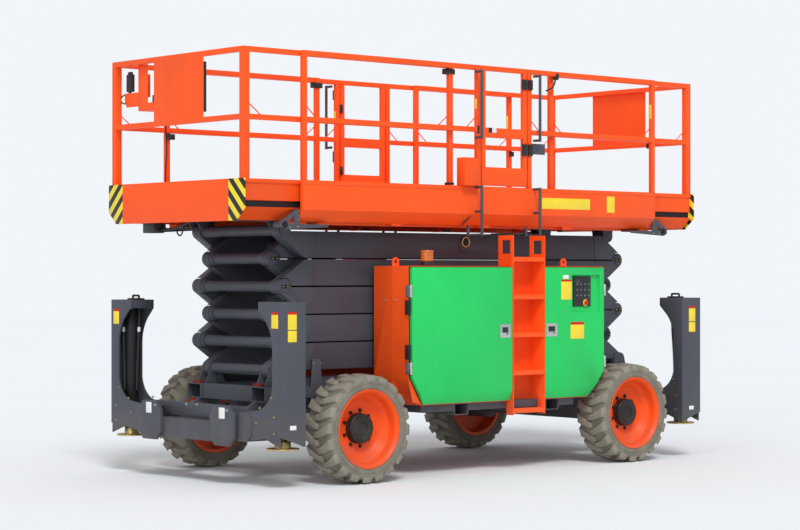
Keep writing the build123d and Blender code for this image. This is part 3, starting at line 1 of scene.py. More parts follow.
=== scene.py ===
"""Rough-terrain scissor lift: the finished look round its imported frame, in metres.

+X is forward, +Y is the machine's left and +Z is up. The lift stands folded on its four wheels.
"""

import json
import math

import bpy
from mathutils import Matrix, Vector


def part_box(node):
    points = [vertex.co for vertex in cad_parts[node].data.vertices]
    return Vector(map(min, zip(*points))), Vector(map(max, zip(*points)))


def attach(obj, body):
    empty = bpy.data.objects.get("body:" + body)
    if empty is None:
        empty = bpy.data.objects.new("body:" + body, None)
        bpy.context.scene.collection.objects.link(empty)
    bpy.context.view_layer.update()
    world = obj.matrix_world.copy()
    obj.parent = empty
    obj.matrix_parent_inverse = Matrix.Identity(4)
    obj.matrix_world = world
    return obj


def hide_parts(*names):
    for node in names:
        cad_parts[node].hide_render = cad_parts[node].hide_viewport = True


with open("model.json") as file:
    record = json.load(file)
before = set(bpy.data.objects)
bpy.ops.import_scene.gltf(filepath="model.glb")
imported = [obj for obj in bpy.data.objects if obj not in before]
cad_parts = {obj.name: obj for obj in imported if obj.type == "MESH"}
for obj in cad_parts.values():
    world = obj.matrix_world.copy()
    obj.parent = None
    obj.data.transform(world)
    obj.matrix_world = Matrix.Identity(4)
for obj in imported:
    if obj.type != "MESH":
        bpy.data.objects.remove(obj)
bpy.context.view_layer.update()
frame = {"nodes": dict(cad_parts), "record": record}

bl_info = {
    "name": "Rough-Terrain Scissor Lift",
    "version": (1, 0, 0),
    "blender": (4, 5, 0),
    "location": "3D View > Sidebar > Scissor Lift",
    "description": "Builds the finished pieces of a scissor lift round its packed frame",
    "category": "Object",
}

# Places read from the frame
TYRE_LOW, TYRE_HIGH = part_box("tyre_front_left")
WHEEL_X = (TYRE_LOW[0] + TYRE_HIGH[0]) / 2
WHEEL_Y = (TYRE_LOW[1] + TYRE_HIGH[1]) / 2
TYRE_RADIUS = (TYRE_HIGH[2] - TYRE_LOW[2]) / 2
CABINET_LOW, CABINET_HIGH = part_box("cabinet_left")
DOOR_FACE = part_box("door_front_left")[1][1]
LADDER_LOW, LADDER_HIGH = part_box("ladders")
SLIDE_FLOOR = {name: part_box(f"{name}_deck")[1][2] for name in ("front", "rear")}
RAILS_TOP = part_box("main_rails")[1][2]
BARREL_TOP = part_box("jack_barrels")[1][2]
LEG_FLANGE, LEG_WEB, LEG_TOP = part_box("outrigger_legs")[1]
CONTROL_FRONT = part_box("control_box")[1][0]
BEACON_LOW, BEACON_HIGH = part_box("beacon")

# Layout of the frame that several pieces share
SIDES = (("left", 1), ("right", -1))
ENDS = (("front", 1), ("rear", -1))
PIN_X = 1.855
ROW_0 = 0.85
ROW_PITCH = 0.2168
STAGES = 5
LEG_CHEEK = 2.321
LEG_INNER_CHEEK = 2.088
POST_FACE = 0.915
SLIDE_POST_Y = 0.849
CONTROL_BOX_TOP = 2.998

# Counts and thin sizes
LUGS = 20
HUB_BOLTS = 12
WHEEL_NUTS = 9
LADDER_STEPS = 5
STEP_PITCH = 0.307
PLATE_THICKNESS = 0.0014
PLATE_EDGE = 0.00056
THIN_EDGE = 0.0005
SAME_PLACE = 0.00002

# Angles in degrees: up to which faces are smooth or flat, and from which an edge is rounded
SMOOTH_ANGLE = 35
PIPE_ANGLE = 60
FLAT_ANGLE = 0.4
BAR_SHARP = 70
PLATE_SHARP = 50
LUG_SHARP = 25
ROUND = 2 * math.pi


# ---------------------------------------------------------------- settings
def colour_setting(name, description, default):
    """A colour that a user can change."""
    return bpy.props.FloatVectorProperty(
        name=name, description=description, subtype="COLOR", size=3, min=0, max=1, default=default
    )


def length_setting(name, description, default, low, high):
    """A length that a user can change."""
    return bpy.props.FloatProperty(
        name=name, description=description, default=default, min=low, max=high, unit="LENGTH"
    )


class ScissorLiftSettings(bpy.types.PropertyGroup):
    """Colours and sizes of the finished pieces."""

    orange: colour_setting("Orange paint", "Platform, cabinets and ladders", (0.955, 0.098, 0.012))
    grey: colour_setting("Grey paint", "Stack, chassis and outriggers", (0.074, 0.078, 0.097))
    green: colour_setting("Green paint", "Cabinet doors", (0.02, 0.575, 0.122))
    black: colour_setting("Black paint", "Hubs, keepers and barrels", (0.014, 0.014, 0.016))
    tyre: colour_setting("Tyre", "Dusty rubber of the tyres", (0.272, 0.25, 0.2))
    zinc: colour_setting("Zinc plate", "Bolts and foot plates", (0.56, 0.42, 0.17))
    amber: colour_setting("Beacon", "Lens of the beacon", (0.8, 0.2, 0.015))
    yellow: colour_setting("Yellow plates", "Blank plates and stripes", (0.88, 0.67, 0.03))
    lug_height: length_setting("Lug height", "Height of the tyre's lugs", 0.027, 0.01, 0.04)
    stripe_pitch: length_setting(
        "Stripe pitch", "Distance from one hazard stripe to the next", 0.125, 0.04, 0.4)
    edge: length_setting("Edge", "Rounding of the edges of sheet and tube", 0.004, 0.001, 0.01)


def settings():
    """The lift's settings in this scene."""
    return bpy.context.scene.scissor_lift


# ---------------------------------------------------------------- shaping by hand
def clear_selection():
    """Leaves edit mode and deselects everything."""
    if bpy.context.object is not None and bpy.context.object.mode != "OBJECT":
        bpy.ops.object.mode_set(mode="OBJECT")
    bpy.ops.object.select_all(action="DESELECT")


def select(*parts):
    """Selects just these pieces, with the first one active."""
    clear_selection()
    for part in parts:
        part.select_set(True)
    bpy.context.view_layer.objects.active = parts[0]


def edit_all():
    """Enters edit mode with the whole mesh selected."""
    bpy.ops.object.mode_set(mode="EDIT")
    bpy.ops.mesh.select_all(action="SELECT")


def close_edit(edge=0.0, sharp=PLATE_SHARP):
    """Turns normals outwards, rounds the sharp edges and leaves edit mode."""
    bpy.ops.mesh.select_all(action="SELECT")
    bpy.ops.mesh.normals_make_consistent(inside=False)
    if edge > 0:
        bpy.ops.mesh.select_all(action="DESELECT")
        bpy.ops.mesh.select_mode(type="EDGE")
        bpy.ops.mesh.edges_select_sharp(sharpness=math.radians(sharp))
        bpy.ops.mesh.bevel(offset=edge, segments=2, affect="EDGES", clamp_overlap=True)
    bpy.ops.object.mode_set(mode="OBJECT")


def apply_place():
    """Moves the active object's place and size into its mesh."""
    bpy.ops.object.transform_apply(location=True, rotation=True, scale=True)
    return bpy.context.object


def about(middle, reach):
    """The places at a reach before and after a middle."""
    return middle - reach, middle + reach


def block(x, y, z, edge=0.003, end=1, side=1):
    """A cuboid with rounded edges between two places along each axis, at an end and on a side."""
    spans = ([end * place for place in x], [side * place for place in y], z)
    clear_selection()
    bpy.ops.mesh.primitive_cube_add(size=1, location=[(a + b) / 2 for a, b in spans])
    bpy.context.object.scale = [abs(b - a) for a, b in spans]
    made = apply_place()
    edit_all()
    close_edit(edge)
    return made


def pair(x, y, z, edge=0.003):
    """The same block on both sides."""
    return [block(x, y, z, edge, side=side) for _, side in SIDES]


def on_axis(axis, along, first, second):
    """A point from its place along one axis and its places along the other two, in order."""
    values = [first, second]
    values.insert("XYZ".index(axis), along)
    return Vector(values)


def plate(outline, axis, near, far, edge):
    """An outline drawn across an axis and extruded along it."""
    clear_selection()
    bpy.ops.mesh.primitive_circle_add(vertices=len(outline), radius=1, fill_type="NGON")
    made = bpy.context.object
    for vertex, (first, second) in zip(made.data.vertices, outline):
        vertex.co = on_axis(axis, near, first, second)
    edit_all()
    bpy.ops.mesh.extrude_region_move(
        TRANSFORM_OT_translate={"value": on_axis(axis, far - near, 0, 0)}
    )
    close_edit(edge)
    return made


def bar(start, end, radius, sides=24, edge=0.0015):
    """A round bar between two points with rounded rims."""
    start, end = Vector(start), Vector(end)
    clear_selection()
    bpy.ops.mesh.primitive_cylinder_add(
        vertices=sides, radius=radius, depth=(end - start).length, location=(start + end) / 2,
        rotation=(end - start).to_track_quat("Z", "Y").to_euler(),
    )
    made = apply_place()
    edit_all()
    close_edit(edge, sharp=BAR_SHARP)
    return made


def rod(foot, axis, reach, radius, sides=24, edge=0.0015):
    """A round bar from its foot along one axis."""
    return bar(foot, Vector(foot) + on_axis(axis, reach, 0, 0), radius, sides, edge)


def spun(profile, centre, axis=(0, 1, 0), steps=48):
    """A closed profile of (radius, place along Y or Z) pairs spun about a line through a centre."""
    centre = Vector(centre)
    clear_selection()
    bpy.ops.mesh.primitive_circle_add(vertices=len(profile), radius=1, fill_type="NOTHING")
    made = bpy.context.object
    for vertex, (radius, along) in zip(made.data.vertices, profile):
        vertex.co = centre + Vector((radius, 0, 0)) + along * Vector(axis)
    edit_all()
    bpy.ops.mesh.spin(steps=steps, angle=ROUND, center=centre, axis=axis)
    bpy.ops.mesh.select_all(action="SELECT")
    bpy.ops.mesh.remove_doubles(threshold=SAME_PLACE)
    close_edit()
    return made


def hose_line(points, radius, steps):
    """A round curve along a smooth line through its guide points."""
    clear_selection()
    bpy.ops.curve.primitive_nurbs_path_add()
    made = bpy.context.object
    made.location = (0, 0, 0)
    curve = made.data
    curve.splines.clear()
    spline = curve.splines.new("NURBS")
    spline.points.add(len(points) - 1)
    for point, place in zip(spline.points, points):
        point.co = (*place, 1)
    spline.order_u = 3
    spline.use_endpoint_u = True
    spline.resolution_u = steps
    curve.dimensions = "3D"
    curve.bevel_depth = radius
    curve.bevel_resolution = 4
    curve.use_fill_caps = True
    return made


def pipe(points, radius):
    """A fixed pipe or hose along a smooth line, as a mesh."""
    hose_line(points, radius, 8)
    bpy.ops.object.convert(target="MESH")
    return bpy.context.object


def copy_to(source, matrix):
    """A copy of a piece with its own mesh, moved by a matrix."""
    made = source.copy()
    made.data = source.data.copy()
    made.data.transform(matrix)
    bpy.context.collection.objects.link(made)
    return made


def reflected(made, side):
    """A piece made on the left, mirrored to the right where its side is -1."""
    if side < 0:
        made.data.transform(Matrix.Scale(-1, 4, (0, 1, 0)))
        made.data.flip_normals()
    return made


def join(parts):
    """A piece, or a list of pieces as one object."""
    parts = parts if isinstance(parts, list) else [parts]
    select(*parts)
    if len(parts) > 1:
        bpy.ops.object.join()
    return bpy.context.object


def discard(made):
    """Removes a pattern piece once its copies are made."""
    bpy.data.objects.remove(made, do_unlink=True)


def coat(made, material):
    """Gives a piece one material all over."""
    made.data.materials.clear()
    made.data.materials.append(MATERIALS[material])


def dress(parts, name, material, body="chassis", angle=SMOOTH_ANGLE,
          replaces=()):
    """Joins, names and smooths a piece, gives it its material and seats it on its body."""
    made = join(parts)
    made.name = name
    made.data.name = name
    bpy.ops.object.shade_smooth_by_angle(angle=math.radians(angle))
    if material is not None:
        coat(made, material)
    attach(made, body)
    if replaces:
        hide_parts(*replaces)
    return made


def rounded(node, edge, material):
    """A copy of a CAD node with its doubles merged and its sharp edges rounded, in its place."""
    source = frame["nodes"][node]
    made = source.copy()
    made.data = source.data.copy()
    made.parent = None
    bpy.context.collection.objects.link(made)
    select(made)
    edit_all()
    bpy.ops.mesh.remove_doubles(threshold=SAME_PLACE)
    bpy.ops.mesh.dissolve_limited(angle_limit=math.radians(FLAT_ANGLE))
    bpy.ops.object.mode_set(mode="OBJECT")
    bevel = made.modifiers.new("Rounded edges", "BEVEL")
    bevel.width = edge
    bevel.segments = 2
    bevel.limit_method = "ANGLE"
    bevel.angle_limit = math.radians(SMOOTH_ANGLE)
    bevel.use_clamp_overlap = True
    bpy.ops.object.modifier_apply(modifier=bevel.name)
    return dress(made, f"{node}_finished", material, BODY_OF[node],
                 replaces=(node,))


def two_tone(made, material, x, y, z, end=1, side=1):
    """Gives a second material to the faces that lie wholly between two places along each axis."""
    spans = (sorted(end * place for place in x), sorted(side * place for place in y), z)
    made.data.materials.append(MATERIALS[material])
    index = len(made.data.materials) - 1
    vertices = made.data.vertices
    for polygon in made.data.polygons:
        if all(low <= value <= high for corner in polygon.vertices
               for (low, high), value in zip(spans, vertices[corner].co)):
            polygon.material_index = index


def cut_across(made, place, direction):
    """Cuts a piece's faces along a plane, so that its halves can be painted apart."""
    select(made)
    edit_all()
    bpy.ops.mesh.bisect(plane_co=place, plane_no=direction)
    bpy.ops.object.mode_set(mode="OBJECT")


# The pattern of every bolt head, kept under "bolt" while the pieces are made
HEAD = {}


def bolt_head():
    """A hexagon head on a washer, 1 m across its corners, pointing up from the origin."""
    if "bolt" not in HEAD:
        head = rod((0, 0, 0.12), "Z", 0.6, 0.5, sides=6, edge=0.05)
        washer = rod((0, 0, 0), "Z", 0.14, 0.72, sides=20, edge=0.03)
        socket = rod((0, 0, 0.7), "Z", 0.045, 0.3, sides=12, edge=0.02)
        HEAD["bolt"] = join([head, washer, socket])
    return HEAD["bolt"]


def bolts(places, radius):
    """Bolt heads at (point, direction) places, as one object."""
    made = []
    for point, direction in places:
        turn = Vector(direction).to_track_quat("Z", "Y").to_matrix().to_4x4()
        matrix = Matrix.Translation(point) @ turn @ Matrix.Scale(radius, 4)
        made.append(copy_to(bolt_head(), matrix))
    return join(made)


def facing_out(x, y, z, side=1):
    """The place of a bolt that points away from the machine's middle line."""
    return (x, side * y, z), (0, side, 0)


def facing_along(x, y, z, way):
    """The place of a bolt that points forward, or backward where its way is -1."""
    return (x, y, z), (way, 0, 0)


# ---------------------------------------------------------------- materials
MATERIALS = {}
ROAD_DUST = (0.2, 0.17, 0.13)


class Finish:
    """A Principled material whose nodes are added one by one."""

    def __init__(self, name):
        self.material = bpy.data.materials.new(name)
        self.material.use_nodes = True
        self.tree = self.material.node_tree
        self.shader = self.tree.nodes["Principled BSDF"]
        self.place = self.node("ShaderNodeTexCoord").outputs["Object"]
        MATERIALS[name] = self.material

    def node(self, kind, **values):
        """A node with its settings and its sockets' values."""
        made = self.tree.nodes.new(kind)
        for key, value in values.items():
            if hasattr(made, key):
                setattr(made, key, value)
            else:
                made.inputs[key].default_value = value
        return made

    def link(self, output, target):
        """Links an output to a socket."""
        self.tree.links.new(output, target)

    def feed(self, value, target):
        """Gives a socket an output, a number or a colour."""
        if isinstance(value, bpy.types.NodeSocket):
            self.link(value, target)
        else:
            target.default_value = value if isinstance(value, float) else (*value, 1)

    def placed(self, kind, place=None, **values):
        """A node that reads the place in object space, or another place."""
        made = self.node(kind, **values)
        self.link(place or self.place, made.inputs["Vector"])
        return made

    def noise(self, scale, detail=4.0, roughness=0.55, stretch=None):
        """Noise in object space, from 0 to 1."""
        place = None
        if stretch is not None:
            place = self.placed("ShaderNodeMapping", Scale=stretch).outputs["Vector"]
        made = self.placed("ShaderNodeTexNoise", place, Scale=scale, Detail=detail,
                           Roughness=roughness)
        return made.outputs["Fac"]

    def spread(self, value, low=0.3, high=0.7, to_low=0.0, to_high=1.0):
        """A value's range from low to high mapped to another range."""
        made = self.node("ShaderNodeMapRange", **{
            "From Min": low, "From Max": high, "To Min": to_low, "To Max": to_high})
        self.link(value, made.inputs["Value"])
        return made.outputs["Result"]

    def figure(self, operation, first, second=None):
        """A sum on one or two values."""
        made = self.node("ShaderNodeMath", operation=operation)
        self.feed(first, made.inputs[0])
        if second is not None:
            self.feed(second, made.inputs[1])
        return made.outputs[0]

    def mix(self, factor, first, second):
        """Two colours mixed by a factor; each is a colour or an output."""
        made = self.node("ShaderNodeMix", data_type="RGBA", blend_type="MIX")
        for value, index in ((factor, 0), (first, 6), (second, 7)):
            self.feed(value, made.inputs[index])
        return made.outputs[2]

    def mottled(self, scale, colour, dark, light, detail=4.0):
        """A colour that wanders between a darker and a lighter shade of itself."""
        return self.mix(self.spread(self.noise(scale, detail)),
                        scaled(colour, dark), scaled(colour, light))

    def along(self, axis):
        """The place along one axis."""
        return self.placed("ShaderNodeSeparateXYZ").outputs[axis]

    def bump(self, value, strength, distance):
        """Bumps of a height given by a value."""
        made = self.node("ShaderNodeBump", Strength=strength, Distance=distance)
        self.link(value, made.inputs["Height"])
        self.link(made.outputs["Normal"], self.shader.inputs["Normal"])

    def colour(self, output):
        """Sets the base colour."""
        self.link(output, self.shader.inputs["Base Color"])

    def roughness(self, value, smooth, rough, low=0.3, high=0.7):
        """Roughness between two levels, led by a value's range."""
        self.link(self.spread(value, low, high, smooth, rough), self.shader.inputs["Roughness"])

    def plain(self, **values):
        """Sets the shader's own sockets."""
        for key, value in values.items():
            self.shader.inputs[key.replace("_", " ")].default_value = value


def scaled(colour, factor):
    """A colour made lighter or darker."""
    return tuple(min(1.0, part * factor) for part in colour)


def make_paints(values):
    """Powder coats: faint mottling, orange peel, and road dust that thins out with height."""
    # columns: name, colour, roughness, height at which the dust ends
    for name, colour, gloss, dust_top in (
            ("orange paint", values.orange, 0.38, 0.75),
            ("rim paint", scaled(values.orange, 0.95), 0.42, 0.34),
            ("grey paint", values.grey, 0.42, 0.7),
            ("green paint", values.green, 0.4, 0.66),
            ("black paint", values.black, 0.45, 0.6),
            ("dark red pad", (0.2, 0.02, 0.015), 0.55, 0.75),
            ("white paint", (0.74, 0.75, 0.74), 0.45, 0.75),
            ("red plastic", (0.62, 0.012, 0.01), 0.28, 0.75)):
        made = Finish(name)
        fading = made.spread(made.along("Z"), 0.25, dust_top, 0.34, 0.0)
        patches = made.spread(made.noise(7.0, 6.0), 0.35, 0.7, 0.15, 1.0)
        made.colour(made.mix(made.figure("MULTIPLY", fading, patches),
                             made.mottled(2.3, colour, 0.93, 1.05), ROAD_DUST))
        made.roughness(made.noise(34.0), gloss - 0.05, gloss + 0.1, 0.2, 0.8)
        made.bump(made.noise(420.0, 2.0), 0.05, 0.0006)
        made.plain(Coat_Weight=0.03, Coat_Roughness=0.25, Specular_IOR_Level=0.22)


def make_metals(values):
    """Bare or plated metals with fine drawn streaks."""
    # columns: name, colour, roughness, stretch of the streaks, share of bare metal
    for name, colour, rough, stretch, metallic in (
            ("zinc plate", values.zinc, 0.36, (1, 1, 1), 0.85),
            ("bright steel", (0.62, 0.63, 0.65), 0.33, (0.2, 0.2, 3.0), 0.9),
            ("hard chrome", (0.8, 0.81, 0.83), 0.12, (4.0, 0.2, 4.0), 1.0),
            ("galvanised", (0.4, 0.415, 0.44), 0.48, (1, 1, 1), 0.55)):
        made = Finish(name)
        streaks = made.noise(30.0, 5.0, stretch=stretch)
        made.colour(made.mix(made.spread(streaks), scaled(colour, 0.78), scaled(colour, 1.12)))
        made.roughness(streaks, rough - 0.08, rough + 0.1, 0.25, 0.75)
        made.bump(streaks, 0.05, 0.0004)
        made.plain(Metallic=metallic)


def make_rubbers(values):
    """Tyre rubber, smooth rubber and moulded plastic."""
    # the carcass is a darker copy of the lugs' rubber: painted shade in the grooves between the
    # lugs
    for name, light, dark in (("tyre lugs", 1.08, 0.8), ("tyre carcass", 0.92, 0.55)):
        made = Finish(name)
        # noise between a darker and a lighter tyre colour: dust, and for the carcass also painted
        # shade
        dust_and_groove_shade = made.mix(made.spread(made.noise(9.0, 8.0, 0.7), 0.3, 0.68),
                         scaled(values.tyre, dark), scaled(values.tyre, light))
        speckle = made.spread(made.noise(120.0, 3.0), 0.55, 0.75, 0.0, 0.35)
        made.colour(made.mix(speckle, dust_and_groove_shade, scaled(values.tyre, 0.45)))
        made.roughness(made.noise(40.0), 0.78, 0.95)
        made.bump(made.noise(160.0, 6.0, 0.7), 0.22, 0.0015)
        made.plain(Specular_IOR_Level=0.25)
    for name, colour, rough in (("black rubber", (0.012, 0.012, 0.013), 0.62),
                                ("grey plastic", (0.045, 0.047, 0.052), 0.5),
                                ("black plastic", (0.012, 0.012, 0.014), 0.38)):
        made = Finish(name)
        made.colour(made.mottled(14.0, colour, 0.8, 1.3))
        made.roughness(made.noise(60.0), rough - 0.06, rough + 0.08)
        made.bump(made.noise(700.0, 2.0), 0.1, 0.0004)


def make_lens(values):
    """Amber lens of the beacon, and the dark glass of the gauge."""
    made = Finish("amber lens")
    rings = made.placed("ShaderNodeTexWave", wave_type="BANDS", bands_direction="Z",
                        Scale=70.0).outputs["Fac"]
    made.colour(made.mix(rings, scaled(values.amber, 0.8), scaled(values.amber, 1.2)))
    made.roughness(made.noise(50.0), 0.1, 0.2)
    made.bump(rings, 0.35, 0.0015)
    made.plain(Transmission_Weight=0.35, IOR=1.49, Coat_Weight=0.4)
    glass = Finish("dark glass")
    glass.colour(glass.mix(glass.spread(glass.noise(6.0)),
                           (0.01, 0.012, 0.016), (0.02, 0.024, 0.03)))
    glass.roughness(glass.noise(30.0), 0.08, 0.16)
    glass.plain(Coat_Weight=0.5)


def make_signs(values):
    """Blank plates, the hazard stripes and the deck's chequer plate."""
    for name, colour in (("yellow plate", values.yellow), ("white plate", (0.8, 0.81, 0.8))):
        made = Finish(name)
        made.colour(made.mottled(11.0, colour, 0.94, 1.04))
        made.roughness(made.noise(50.0), 0.32, 0.42)
        made.bump(made.noise(260.0), 0.04, 0.0003)
    made = Finish("hazard stripes")
    slant = made.figure("ADD", made.figure("ABSOLUTE", made.along("Y")), made.along("Z"))
    turn = made.figure("FRACT", made.figure("DIVIDE", slant, values.stripe_pitch))
    made.colour(made.mix(made.figure("GREATER_THAN", turn, 0.5), (0.012, 0.012, 0.012),
                         made.mottled(9.0, values.yellow, 0.95, 1.03)))
    made.roughness(made.noise(40.0), 0.34, 0.46)
    tread = Finish("deck plate")
    cells = tread.placed("ShaderNodeTexVoronoi", Scale=34.0, feature="F1", distance="CHEBYCHEV")
    tread.colour(tread.mottled(3.0, values.orange, 0.85, 1.03, detail=6.0))
    tread.roughness(tread.noise(30.0), 0.4, 0.55)
    tread.bump(tread.spread(cells.outputs["Distance"], 0.25, 0.36, 1.0, 0.0), 0.5, 0.002)


# ---------------------------------------------------------------- operators
class LiftPiece(bpy.types.Operator):
    """Base of the operators that make the lift's pieces."""

    bl_options = {"REGISTER", "UNDO"}

    def execute(self, context):
        self.make(settings())
        return {"FINISHED"}


class SCISSORLIFT_OT_materials(LiftPiece):
    """Make the paints, metals, rubbers and plates"""

    bl_idname = "scissorlift.materials"
    bl_label = "Materials"

    def make(self, values):
        make_paints(values)
        make_metals(values)
        make_rubbers(values)
        make_lens(values)
        make_signs(values)


BODY_OF = {node: body for body, nodes in frame["record"]["behaviour"]["bodies"].items()
           for node in nodes}

# columns: material, rounding as a share of the edge setting, starts of the nodes' names
SHEET_AND_TUBE = (
    ("orange paint", 1.0, ("main_rails", "front_rails", "rear_rails", "gate", "main_deck")),
    ("orange paint", 0.8, ("cabinet", "front_deck", "rear_deck", "control_box")),
    ("orange paint", 0.6, ("ladders",)),
    ("green paint", 1.6, ("door",)),
    ("grey paint", 1.2, ("chassis_frame",)),
    ("grey paint", 1.0, ("outrigger_legs", "fork_tubes", "front_axle", "rear_axle", "knuckle")),
    ("grey paint", 0.9, ("outer_arm", "inner_arm")),
    ("grey paint", 0.6, ("deck_brackets", "lower_slider", "upper_slider")),
    ("grey paint", 0.5, ("tie_rod",)),
    ("grey paint", 0.4, ("grab_handles",)),
    ("grey plastic", 1.6, ("battery_packs",)),
    ("black paint", 0.8, ("jack_barrels", "lower_barrel", "upper_barrel")),
    ("zinc plate", 0.6, ("jack_",)),
    ("hard chrome", 0.5, ("lower_rod", "upper_rod")),
    ("black plastic", 0.5, ("document_box",)),
)

# The nodes with a second material: the faces that take it lie between these places
SECOND_FINISH = {
    "main_deck": ("grey paint", (-2.0, 2.0), (-0.745, 0.745), (1.8, 2.24)),
    "control_box": ("black plastic", (2.29, 2.425), (-0.402, -0.193), (2.884, 3.01)),
}
# Bottom of the slot along each sliding deck's side, painted black as painted shade in the hollow
# slot
SLIDE_SLOT_SHADE = ((0.0, 2.475), (0.8395, 0.845), (2.094, 2.146))
STRIPES_FROM = 0.7
STRIPES = ((2.47, 3.0), (STRIPES_FROM - 0.0005, 1.0), (1.9, 2.4))


class SCISSORLIFT_OT_sheet_and_tube(LiftPiece):
    """Round the edges of the frame's own pieces and paint them"""

    bl_idname = "scissorlift.sheet_and_tube"
    bl_label = "Sheet and tube"

    def make(self, values):
        for node in sorted(frame["nodes"]):
            for material, share, starts in SHEET_AND_TUBE:
                if node.startswith(starts):
                    made = rounded(node, values.edge * share, material)
                    if node in SECOND_FINISH:
                        two_tone(made, *SECOND_FINISH[node])
                    for name, end in ENDS:
                        if node == f"{name}_deck":
                            self.paint_slide(made, end)
                    break

    def paint_slide(self, deck, end):
        """Paints black painted shade at the bottom of the slots in a sliding deck's sides, and the
        hazard stripes on its end plate.
        """
        # painted shade: black at the bottom of each side's slot
        for _, side in SIDES:
            two_tone(deck, "black paint", *SLIDE_SLOT_SHADE, end, side)
        for _, side in SIDES:
            cut_across(deck, (0, side * STRIPES_FROM, 0), (0, 1, 0))
            two_tone(deck, "hazard stripes", *STRIPES, end, side)


# The tyre's outer half section as (radius, place across), from the bead to the middle
TYRE_HALF_SECTION = (
    (0.2865, 0.137), (0.3035, 0.1405), (0.309, 0.147), (0.318, 0.1492), (0.33, 0.1508),
    (0.337, 0.151), (0.34, 0.148), (0.345, 0.148), (0.348, 0.1512), (0.362, 0.1505),
    (0.374, 0.1455), (0.384, 0.134), (0.3905, 0.118), (0.3925, 0.06), (0.393, 0.0),
)
LUG_ROOT = 0.378
LUG_CROWN = TYRE_RADIUS - 0.0013
# A lug's corners at its root and at its crown as (along the tread, across the tyre)
LUG_CORNERS = (
    ((0.006, -0.016), (0.01, -0.012)), ((0.06, -0.016), (0.054, -0.012)),
    ((0.052, 0.046), (0.047, 0.046)), ((0.02, 0.1515), (0.014, 0.14)),
    ((-0.068, 0.1515), (-0.062, 0.14)), ((-0.01, 0.046), (-0.005, 0.046)),
)
SHOULDER = 0.1


def make_lug(side, height):
    """One lug on the top of the tyre, swept back from the middle to the shoulder."""
    made = plate([root for root, _ in LUG_CORNERS], "Z", LUG_ROOT, LUG_ROOT + height, edge=0)
    for vertex in made.data.vertices:
        root, (along, across) = min(LUG_CORNERS, key=lambda pair: math.dist(pair[0], vertex.co[:2]))
        if vertex.co.z > LUG_ROOT + height / 2:
            drop = 0.007 if across > SHOULDER else 0.0
            vertex.co = (along, across, math.sqrt(LUG_CROWN**2 - along**2) - drop)
        elif root[1] > SHOULDER:
            vertex.co.z = LUG_ROOT - 0.014
    select(made)
    edit_all()
    close_edit(0.0035, sharp=LUG_SHARP)
    return reflected(made, side)


def wheel_places():
    """Each wheel's name, and the matrix that takes a piece from the origin to it."""
    for end, lengthwise in ENDS:
        for hand, side in SIDES:
            centre = Vector((lengthwise * WHEEL_X, side * WHEEL_Y, TYRE_RADIUS))
            turn = Matrix.Rotation(0 if side > 0 else math.pi, 4, "Z")
            yield f"{end}_{hand}", Matrix.Translation(centre) @ turn


class SCISSORLIFT_OT_tyres(LiftPiece):
    """Make the four lugged tyres"""

    bl_idname = "scissorlift.tyres"
    bl_label = "Tyres"

    def make(self, values):
        inner_half = [(radius, -across) for radius, across in reversed(TYRE_HALF_SECTION[:-1])]
        carcass = spun([*TYRE_HALF_SECTION, *inner_half], (0, 0, 0), steps=80)
        coat(carcass, "tyre carcass")
        lugs = []
        for side, shift in ((1, 0.0), (-1, 0.5)):
            lug = make_lug(side, values.lug_height)
            coat(lug, "tyre lugs")
            for index in range(LUGS):
                turn = ROUND * (index + shift) / LUGS
                lugs.append(copy_to(lug, Matrix.Rotation(turn, 4, "Y")))
            discard(lug)
        tyre = join([carcass, *lugs])
        for name, matrix in wheel_places():
            dress(copy_to(tyre, matrix), f"tyre_{name}_lugged", None, f"wheel_{name}", 32,
                  (f"tyre_{name}",))
        discard(tyre)


RIM_SECTION = (
    (0.112, 0.0), (0.196, 0.0), (0.206, 0.002), (0.216, 0.009), (0.226, 0.021), (0.236, 0.034),
    (0.248, 0.045), (0.262, 0.053), (0.268, 0.062), (0.269, 0.112), (0.272, 0.124),
    (0.282, 0.134), (0.288, 0.14), (0.292, 0.1465), (0.2975, 0.1485), (0.3025, 0.1462),
    (0.303, 0.14), (0.287, 0.138), (0.2855, 0.13), (0.2855, -0.137), (0.302, -0.1395),
    (0.302, -0.146), (0.272, -0.146), (0.272, -0.02), (0.112, -0.02),
)
HUB_SECTION = (
    (0.046, -0.01), (0.118, -0.01), (0.118, 0.02), (0.1145, 0.024), (0.1145, 0.052),
    (0.108, 0.059), (0.09, 0.0605), (0.088, 0.063), (0.052, 0.064), (0.048, 0.056),
    (0.0005, 0.056), (0.0005, 0.04), (0.046, 0.04),
)


def ring_of_bolts(count, reach, along, shift, radius):
    """Bolt heads at equal steps round the wheel's axis."""
    turns = (ROUND * (index + shift) / count for index in range(count))
    return bolts([((reach * math.cos(turn), along, reach * math.sin(turn)), (0, 1, 0))
                  for turn in turns], radius)


class SCISSORLIFT_OT_rims(LiftPiece):
    """Make the deep rims, the hubs and their nuts"""

    bl_idname = "scissorlift.rims"
    bl_label = "Rims and hubs"

    def make(self, values):
        rim = spun(RIM_SECTION, (0, 0, 0), steps=96)
        hub = join([spun(HUB_SECTION, (0, 0, 0), steps=64),
                    ring_of_bolts(HUB_BOLTS, 0.1, 0.0585, 0.0, 0.0085),
                    ring_of_bolts(WHEEL_NUTS, 0.139, 0.0, 0.5, 0.0215)])
        valve = join([bar((0.232, 0.018, 0), (0.238, 0.062, 0), 0.0055, 12),
                      bar((0.2385, 0.06, 0), (0.24, 0.074, 0), 0.0075, 12)])
        for name, matrix in wheel_places():
            body = f"wheel_{name}"
            dress(copy_to(rim, matrix), f"rim_{name}_deep", "rim paint", body, angle=40,
                  replaces=(f"rim_{name}",))
            dress(copy_to(hub, matrix), f"hub_{name}", "black paint", body)
            dress(copy_to(valve, matrix), f"valve_{name}", "bright steel", body)
        for made in (rim, hub, valve):
            discard(made)


